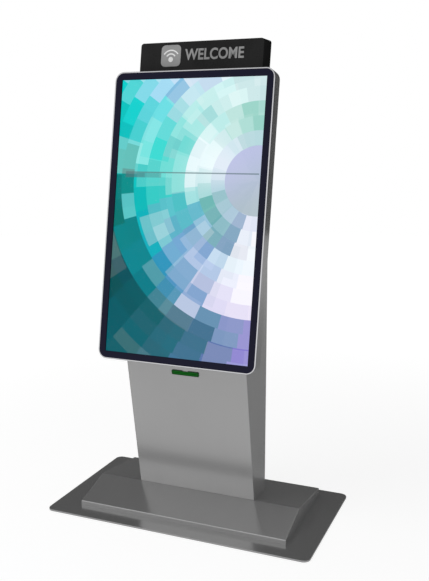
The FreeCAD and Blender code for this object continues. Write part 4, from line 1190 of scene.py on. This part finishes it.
@dataclass
class Ventilation:
    """The two fans of the upper rear panel and their finger guards."""

    guard_rings: tuple[float, ...] = (0.012, 0.021, 0.030, 0.0375)
    wire: float = 0.0009
    fan_across: float = 0.095
    spoke_length: float = 0.096
    spoke_end: float = 0.0015
    spoke_bearings: tuple[float, float] = (45.0, 135.0)

    def build(self) -> None:
        """Dresses the fans and adds their guards."""
        dress(Finish.BLACK_PLASTIC, "fan_frames", "fan_rotor_left", "fan_rotor_right")
        dress(Finish.ZINC, "fan_screws")
        for side in ("left", "right"):
            self._guard(side)

    def _guard(self, side: str) -> None:
        """Makes the wire guard on the inner face of one fan.

        Args:
            side: left or right.
        """
        low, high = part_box("fan_rotor_" + side)
        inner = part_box("fan_frames")[0].y
        x = math.copysign(self.fan_across, low.x)
        centre = Vector((x, inner - self.wire * 3, (low.z + high.z) / 2))
        wires = [Workpiece.ring("guard_ring", centre, radius, self.wire, "Y")
                 for radius in self.guard_rings]
        behind = centre + Vector((0.0, self.wire * 1.8, 0.0))
        for bearing in self.spoke_bearings:
            spoke = Workpiece.rod("guard_spoke", behind, self.wire, self.spoke_length, "Z", 8)
            spoke.facing((0, 0, 1)).push((0.0, 0.0, self.spoke_end))
            spoke.placed(about(centre, bearing, "Y"))
            wires.append(spoke)
        Workpiece.joined(f"fan_guard_{side}", wires).done("frame", Finish.ZINC)


@dataclass
class Electronics:
    """The computer, its supply, the mains inlet, the switch and the internal leads."""

    port_sizes: tuple[tuple[float, float], ...] = (
        (0.0160, 0.0068), (0.0160, 0.0068), (0.0165, 0.0100), (0.0170, 0.0060))
    port_pitch: float = 0.034
    first_port: float = 0.024
    port_up: float = 0.016
    port_depth: float = 0.004
    port_sink: float = 0.0008
    button_place: tuple[float, float] = (0.014, 0.017)
    button_radius: float = 0.0055
    lamp_offset: float = 0.014
    terminal_count: int = 6
    terminal_pitch: float = 0.0124
    terminal_height: float = 0.012
    terminal_up: float = 0.0145
    terminal_start: float = 0.0105
    terminal_wall: float = 0.0012
    gland_place: tuple[float, float] = (0.150, 0.104)
    gland_radius: float = 0.0075
    gland_length: float = 0.020

    def build(self) -> None:
        """Dresses the electronics and adds their sockets, button, terminals and gland."""
        dress(Finish.BLACK_ALUMINIUM, "mini_computer")
        dress(Finish.ZINC_PLATE, "power_supply")
        dress(Finish.BLACK_PLASTIC, "power_inlet", "switch_body", "rocker")
        dress(Finish.BRASS, "inlet_pins")
        dress(Finish.RUBBER, "mains_lead", "display_lead")
        self._ports()
        self._button()
        self._terminals()
        self._gland()

    def _ports(self) -> None:
        """Sets a row of sockets into the front of the computer."""
        low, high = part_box("mini_computer")
        shells = []
        for number, (width, height) in enumerate(self.port_sizes):
            x = low.x + self.first_port + number * self.port_pitch
            z = low.z + self.port_up
            shell = Workpiece.block(
                "port_shell", (x - width / 2, high.y - self.port_depth, z - height / 2),
                (x + width / 2, high.y - self.port_sink, z + height / 2))
            shell.along((0, 1, 0)).bevel(0.0009, 2)
            shell.facing((0, 1, 0)).inset(0.0007).push((0.0, -0.0018, 0.0))
            shells.append(shell)
        Workpiece.joined("computer_ports", shells).done("frame", Finish.ZINC)

    def _button(self) -> None:
        """Makes the computer's power button with its lamp beside it."""
        low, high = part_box("mini_computer")
        from_side, up = self.button_place
        spot = Vector((high.x - from_side, high.y, low.z + up))
        button = Workpiece.rod("computer_button", spot, self.button_radius, 0.003, "Y")
        button.facing((0, 1, 0)).inset(0.0012).push((0.0, -0.0006, 0.0))
        button.soften(0.0003)
        button.done("frame", Finish.BLACK_PLASTIC)
        beside = spot + Vector((-self.lamp_offset, 0.0, 0.0))
        lamp = Workpiece.rod("computer_lamp", beside, 0.0016, 0.0022, "Y", 16)
        lamp.facing((0, 1, 0)).inset(0.0005).shift((0.0, 0.0005, 0.0))
        lamp.done("frame", Finish.LAMP_GREEN)

    def _terminals(self) -> None:
        """Makes the supply's barrier terminals with their screws."""
        low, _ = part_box("power_supply")
        foot, first = low.z + self.terminal_up, low.y + self.terminal_start
        last = first + self.terminal_count * self.terminal_pitch
        half_wall = self.terminal_wall / 2
        block = Workpiece.block("supply_terminals", (low.x - 0.006, first, foot),
                                (low.x + 0.0038, last, foot + self.terminal_height))
        block.soften(0.0008)
        walls, screws = [], []
        for number in range(self.terminal_count + 1):
            y = first + number * self.terminal_pitch
            wall = Workpiece.block("terminal_wall", (low.x - 0.0085, y - half_wall, foot),
                                   (low.x + 0.003, y + half_wall, foot + 0.014))
            wall.along((0, 1, 0)).bevel(0.0008, 2)
            walls.append(wall)
        for number in range(self.terminal_count):
            y = first + (number + 0.5) * self.terminal_pitch
            spot = (low.x - 0.0065, y, foot + self.terminal_height / 2)
            screw = Workpiece.rod("terminal_screw", spot, 0.0031, 0.002, "X", 24)
            screw.facing((-1, 0, 0)).inset(0.0006).push((0.0006, 0.0, 0.0))
            screws.append(screw)
        block.take(walls).done("frame", Finish.BLACK_PLASTIC)
        Workpiece.joined("supply_screws", screws).done("frame", Finish.ZINC)

    def _gland(self) -> None:
        """Makes the gland where the mains lead leaves the inlet."""
        across, up = self.gland_place
        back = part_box("power_inlet")[0].y
        spot = Vector((across, back - self.gland_length / 2, up))
        gland = Workpiece.rod("mains_gland", spot, self.gland_radius, self.gland_length, "Y", 24)
        gland.facing((0, -1, 0)).inset(0.0022).push((0.0, -0.008, 0.0))
        gland.soften(0.0008)
        gland.done("frame", Finish.RUBBER)


@dataclass
class ReceiptPrinter:
    """The receipt printer with its paper and the green mouthpiece in the column's front."""

    slit: float = 0.0016
    lips_half_height: float = 0.0030
    lips_half_width: float = 0.0418
    lips_front: float = 0.0025
    lips_back: float = 0.0105
    motor_radius: float = 0.0125
    motor_length: float = 0.018
    motor_place: tuple[float, float] = (0.040, 0.022)
    motor_plate: tuple[float, float, float] = (0.0012, 0.018, 0.009)
    button_inset: float = 0.018
    button_radius: float = 0.0050

    def build(self) -> None:
        """Dresses the printer and adds its lips, motor and feed button."""
        dress(Finish.PRINTER_GREY, "printer_chassis", "printer_lid", "cutter_unit")
        dress(Finish.ZINC_PLATE, "print_head", "roll_holder")
        dress(Finish.RUBBER, "platen_roller")
        dress(Finish.ZINC, "platen_shaft", "lid_pin")
        dress(Finish.PAPER, "paper_roll", "paper_web")
        dress(Finish.CARDBOARD, "paper_core")
        dress(Finish.NYLON, "paper_spindle")
        dress(Finish.GREEN, "slot_bezel")
        self._lips()
        self._motor()
        self._feed_button()

    def _lips(self) -> None:
        """Sets two green lips into the mouth, with the slit for the receipt between them."""
        low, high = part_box("slot_bezel")
        middle, half = (low.z + high.z) / 2, self.lips_half_width
        lips = []
        for side in (-1, 1):
            near, far = sorted((middle + side * self.slit / 2,
                                middle + side * self.lips_half_height))
            lip = Workpiece.block("slot_lip", (-half, low.y + self.lips_front, near),
                                  (half, low.y + self.lips_back, far))
            lip.along((1, 0, 0)).bevel(0.0004, 3)
            lips.append(lip)
        Workpiece.joined("slot_lips", lips).done("frame", Finish.GREEN)

    def _motor(self) -> None:
        """Fixes the stepper motor and its plate to the side of the printer."""
        low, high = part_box("printer_chassis")
        back, up = self.motor_place
        sheet, half_width, half_height = self.motor_plate
        spot = Vector((high.x + self.motor_length / 2, low.y + back, low.z + up))
        body = Workpiece.rod("printer_motor", spot, self.motor_radius, self.motor_length, "X", 40)
        body.facing((1, 0, 0)).inset(0.0020).push((0.0008, 0.0, 0.0))
        body.soften(0.0006)
        plate = Workpiece.block(
            "motor_plate", (high.x, spot.y - half_width, spot.z - half_height),
            (high.x + sheet, spot.y + half_width, spot.z + half_height))
        plate.along((1, 0, 0)).bevel(0.006, 6)
        body.take([plate]).done("frame", Finish.ZINC_PLATE)

    def _feed_button(self) -> None:
        """Makes the paper feed button on the lid."""
        low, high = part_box("printer_lid")
        spot = Vector((low.x + self.button_inset, (low.y + high.y) / 2, high.z - 0.0004))
        button = Workpiece.rod("feed_button", spot, self.button_radius, 0.0030)
        button.facing((0, 0, 1)).inset(0.0010).shift((0.0, 0.0, -0.0004))
        button.soften(0.0003)
        button.done("printer_lid", Finish.LAMP_GREEN)


@dataclass
class Display:
    """The tilted touch display with its housing and mounting rails.

    A chip is given by its place across and up the driver board, its width, height and rise.
    """

    board_rise: float = 0.014
    can_count: int = 9
    can_pitch: float = 0.013
    can_radius: float = 0.0038
    can_height: float = 0.0056
    can_row: float = -0.041
    chips: tuple[tuple[float, float, float, float, float], ...] = (
        (-0.048, 0.026, 0.020, 0.020, 0.0016), (0.048, 0.026, 0.016, 0.016, 0.0014),
        (0.074, 0.006, 0.014, 0.009, 0.0014), (-0.074, 0.006, 0.014, 0.009, 0.0014),
        (0.074, -0.012, 0.010, 0.018, 0.0014), (-0.074, -0.014, 0.016, 0.012, 0.0060))

    def build(self) -> None:
        """Dresses the display and fills its driver board."""
        dress(Finish.GLASS, "touch_glass")
        dress(Finish.PICTURE, "lcd_panel")
        dress(Finish.RIM_SILVER, "bezel_rim")
        dress(Finish.RUBBER, "glass_gasket")
        dress(Finish.ZINC_PLATE, "lcd_chassis")
        dress(Finish.ZINC, "lcd_standoffs", "display_bolts")
        dress(Finish.BOARD, "display_board")
        dress(Finish.HOUSING_SILVER, "display_housing")
        dress(Finish.BLACK_STEEL, "mount_rails")
        self._chips()
        self._cans()

    def _chips(self) -> None:
        """Solders the chips on the driver board."""
        chips = []
        for across, up, width, height, rise in self.chips:
            chip = Workpiece.block("chip", (across - width / 2, up - height / 2, 0.0),
                                   (across + width / 2, up + height / 2, rise))
            chip.along((0, 0, 1)).bevel(0.0006, 2)
            chip.facing((0, 0, 1)).inset(0.0008).shift((0.0, 0.0, 0.0002))
            chips.append(chip)
        joined = Workpiece.joined("board_chips", chips)
        joined.placed(self._board_place()).done("frame", Finish.BLACK_PLASTIC)

    def _cans(self) -> None:
        """Solders a row of capacitors along the lower edge of the driver board."""
        first = -(self.can_count - 1) / 2 * self.can_pitch
        cans = []
        for number in range(self.can_count):
            spot = (first + number * self.can_pitch, self.can_row, self.can_height / 2)
            can = Workpiece.rod("can", spot, self.can_radius, self.can_height, "Z", 24)
            can.facing((0, 0, 1)).inset(0.0007).shift((0.0, 0.0, -0.0003))
            cans.append(can)
        joined = Workpiece.joined("board_cans", cans)
        joined.placed(self._board_place()).done("frame", Finish.ZINC)

    def _board_place(self) -> Matrix:
        """Finds the rear face of the driver board.

        Returns:
            The place of a drawing on it, with its own Z pointing backwards.
        """
        low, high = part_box("display_board")
        lean, rise = math.sin(SCREEN_TILT), math.cos(SCREEN_TILT)
        centre = (low + high) / 2 - SCREEN_FOOT
        depths = [(vertex.co.y - SCREEN_FOOT.y) * rise - (vertex.co.z - SCREEN_FOOT.z) * lean
                  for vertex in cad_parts["display_board"].data.vertices]
        spot = screen_spot(0.0, centre.y * lean + centre.z * rise, min(depths) + self.board_rise)
        return (Matrix.Translation(spot) @ Matrix.Rotation(math.pi, 4, "Z")
                @ Matrix.Rotation(math.pi / 2 + SCREEN_TILT, 4, "X"))


@dataclass
class Header:
    """The header box over the display, with a general word and a touch sign on its face."""

    face_depth: float = 0.0515
    relief: float = 0.0006
    word: str = "WELCOME"
    word_width: float = 0.213
    letter_height: float = 0.0385
    letter_weight: float = 0.0014
    letters_left: float = -0.054
    letters_up: float = 1.0280
    sign_across: float = -0.108
    sign_up: float = 1.0435
    sign_half: float = 0.0365
    sign_corner: float = 0.42
    dot_drop: float = 0.35
    dot_radius: float = 0.24
    arc_radii: tuple[float, float] = (0.52, 0.86)
    arc_width: float = 0.13
    arc_start: float = math.radians(145.0)
    arc_sweep: float = math.radians(110.0)

    def build(self) -> None:
        """Dresses the header and lays its word and sign."""
        dress(Finish.BLACK_STEEL, "header_shell")
        dress(Finish.BLACK_ACRYLIC, "header_face")
        dress(Finish.BOARD, "header_leds")
        self._word()
        self._sign()

    def _upright(self, across: float, up: float) -> Matrix:
        """Makes the place of a flat drawing on the header's face.

        Args:
            across: distance right of the middle.
            up: distance up the glass.

        Returns:
            The place, with the drawing's own Z pointing out of the face.
        """
        spot = screen_spot(across, up, self.face_depth)
        return Matrix.Translation(spot) @ Matrix.Rotation(math.pi / 2 - SCREEN_TILT, 4, "X")

    def _word(self) -> None:
        """Cuts the word of the header in raised letters."""
        Workpiece.clear()
        bpy.ops.object.text_add()
        text = bpy.context.object.data
        text.body = self.word
        text.size = self.letter_height / 0.7
        text.offset = self.letter_weight
        text.extrude = self.relief / 2
        text.space_character = 1.02
        text.resolution_u = 6
        bpy.ops.object.convert(target="MESH")
        word = Workpiece("welcome_letters")
        size = word.thing.dimensions
        word.thing.scale = (self.word_width / size.x, self.letter_height / size.y, 1.0)
        word.thing.location.z = self.relief / 2
        bpy.ops.object.transform_apply(location=True, rotation=True, scale=True)
        word.placed(self._upright(self.letters_left, self.letters_up))
        word.done("frame", Finish.GREY_PRINT)

    def _sign(self) -> None:
        """Makes the touch sign: a rounded tile with a press dot and two arcs of light."""
        half, place = self.sign_half, self._upright(self.sign_across, self.sign_up)
        tile = Workpiece.block("touch_tile", (-half, -half, 0.0), (half, half, self.relief))
        tile.along((0, 0, 1)).bevel(half * self.sign_corner, 8)
        tile.placed(place).done("frame", Finish.GREY_PRINT)
        marks = Workpiece.rod("touch_marks", (0.0, -half * self.dot_drop, self.relief * 1.5),
                              half * self.dot_radius, self.relief)
        arcs = [self._arc(half * radius, half * self.arc_width) for radius in self.arc_radii]
        marks.take(arcs).placed(place).done("frame", Finish.WHITE_PRINT)

    def _arc(self, radius: float, width: float) -> Workpiece:
        """Spins a flat strip into an arc over the press dot.

        Args:
            radius: radius of the arc's middle.
            width: width of the strip.

        Returns:
            The arc.
        """
        middle = Vector((0.0, -self.sign_half * self.dot_drop, 0.0))
        low = middle + Vector((radius - width / 2, 0.0, self.relief))
        strip = Workpiece.block("touch_arc", low, low + Vector((width, 0.00001, self.relief)))
        strip.placed(about(middle, math.degrees(self.arc_start), "Z"))
        strip.facing((math.sin(self.arc_start), -math.cos(self.arc_start), 0.0))
        bpy.ops.mesh.spin(steps=16, angle=self.arc_sweep, center=middle, axis=(0.0, 0.0, 1.0))
        return strip


@dataclass
class Studio:
    """A pale floor, plain soft light and the camera."""

    floor_radius: float = 8.8
    floor_height: float = -0.0005
    glow_height: float = -0.0008
    backdrop: float = 1.0
    wrap: float = 0.38
    room_front: float = 1.10
    room_middle: float = 0.45
    room_back: float = 0.07
    room_top: float = 1.25
    room_side: float = 1.2
    softbox_spot: Spot = (-1.8, -2.2, 3.4)
    softbox_aim: Spot = (0.0, 0.0, 0.9)
    softbox_size: tuple[float, float] = (2.4, 1.6)
    softbox_watts: float = 30.0
    camera_spot: Vector = field(default_factory=lambda: Vector((1.1131, -2.5420, 1.3233)))
    bearing: float = math.radians(22.54)
    dip: float = math.radians(10.64)
    lens: float = 49.56

    def build(self) -> None:
        """Sets the floor, the light and the camera."""
        self._floor()
        self._glow_floor()
        self._sky()
        self._softbox()
        self._camera()

    def _disc(self, name: str, height: float) -> bpy.types.Object:
        """Makes a round floor sheet.

        Args:
            name: its name.
            height: its height.

        Returns:
            The floor.
        """
        Workpiece.clear()
        bpy.ops.mesh.primitive_circle_add(vertices=128, radius=self.floor_radius, fill_type="NGON",
                                          location=(0.0, 0.0, height))
        bpy.ops.object.transform_apply(location=True, rotation=True, scale=True)
        floor = Workpiece(name).thing
        return floor

    def _floor(self) -> None:
        """Lays the pale floor that the kiosk stands on, its glow dimmed round the kiosk as a
        painted shade.
        """
        floor = self._disc("studio_floor", self.floor_height)
        pale = Surface("pale_floor", Roughness=0.9, Specular_IOR_Level=0.0, Emission_Strength=1.0)
        cloud = pale.noise(0.8, 2.0)
        across, back, _ = pale.axes()
        # Painted shade: the floor's own glow is dimmer near the kiosk and full a few metres out.
        painted_shade_falloff = (across * across + back * back).maths("SQRT").ease(0.8, 3.5)
        pale.feed("Base Color", pale.mix(cloud, grey(0.40), grey(0.42)))
        pale.feed("Emission Color", pale.mix(painted_shade_falloff, grey(0.78), grey(0.86)))
        floor.data.materials.append(pale.material)
        floor.visible_glossy = False

    def _glow_floor(self) -> None:
        """Lays the floor again as shiny surfaces see it, its tone changing from front to back."""
        floor = self._disc("studio_floor_glow", self.glow_height)
        glow = Surface("glow_floor", Base_Color=(0.0, 0.0, 0.0, 1.0), Specular_IOR_Level=0.0,
                       Emission_Strength=1.0)
        across, back, _ = glow.axes()
        far = (across * 0.25 + back).ease(-0.25, 0.6)
        edge = (across * 0.5 + back).ease(2.0, 6.0)
        shade = glow.mix(far, grey(0.60), glow.mix(edge, grey(0.21), grey(0.40)))
        glow.feed("Emission Color", shade)
        floor.data.materials.append(glow.material)
        for ray in ("camera", "diffuse", "transmission", "shadow", "volume_scatter"):
            setattr(floor, f"visible_{ray}", False)

    def _sky(self) -> None:
        """Lights the studio: a white backdrop, an even wrap, and a room that only gloss sees."""
        world = bpy.data.worlds.new("studio")
        world.use_nodes = True
        bpy.context.scene.world = world
        sky = Shader(world.node_tree)
        way = sky.node("ShaderNodeTexCoord", None, None, "Generated")
        split = sky.node("ShaderNodeSeparateXYZ", None, {"Vector": way}).socket.node.outputs
        across, back, rise = (Value(sky, output) for output in split)
        front = sky.mix(rise.ease(0.30, 0.60), grey(self.room_front), grey(self.room_middle))
        room = sky.mix(back.ease(-0.55, 0.1), front, grey(self.room_back))
        room = sky.mix(rise.ease(0.84, 0.99), room, grey(self.room_top))
        side = across.ease(0.62, 0.9) * (1.0 - rise.ease(0.1, 0.5)) * 0.55
        room = sky.mix(side, room, grey(self.room_side))
        paths = sky.node("ShaderNodeLightPath").socket.node.outputs
        glossy, camera = Value(sky, paths["Is Glossy Ray"]), Value(sky, paths["Is Camera Ray"])
        plain = sky.mix(camera, grey(self.wrap), grey(self.backdrop))
        light = sky.mix(glossy, plain, room)
        self_lit = sky.node("ShaderNodeBackground", None, {"Color": light, "Strength": 1.0})
        sky.node("ShaderNodeOutputWorld", None, {"Surface": self_lit})

    def _softbox(self) -> None:
        """Hangs a softbox over the front left, for a gentle direction."""
        Workpiece.clear()
        bpy.ops.object.light_add(type="AREA", location=self.softbox_spot)
        lamp = bpy.context.object
        lamp.name = "softbox"
        lamp.data.shape = "RECTANGLE"
        lamp.data.size, lamp.data.size_y = self.softbox_size
        lamp.data.energy = self.softbox_watts
        aim = Vector(self.softbox_aim) - lamp.location
        lamp.rotation_euler = aim.to_track_quat("-Z", "Y").to_euler()
        lamp.visible_glossy = False

    def _camera(self) -> None:
        """Stands the camera."""
        Workpiece.clear()
        turn = (math.pi / 2 - self.dip, 0.0, self.bearing)
        bpy.ops.object.camera_add(location=self.camera_spot, rotation=turn)
        camera = bpy.context.object
        camera.name = "studio_camera"
        camera.data.lens = self.lens
        camera.data.sensor_width = 36.0
        bpy.context.scene.camera = camera
        bpy.context.scene.view_settings.view_transform = "Standard"


def main() -> None:
    """Builds every sub-assembly in order."""
    logging.basicConfig(level=logging.INFO, format="%(message)s")
    assemblies = (FloorStand(), Column(), RearDoor(), Ventilation(), Electronics(),
                  ReceiptPrinter(), Display(), Header(), Studio())
    for assembly in assemblies:
        LOG.info("assembly %s", type(assembly).__name__)
        assembly.build()


if __name__ == "__main__":
    main()
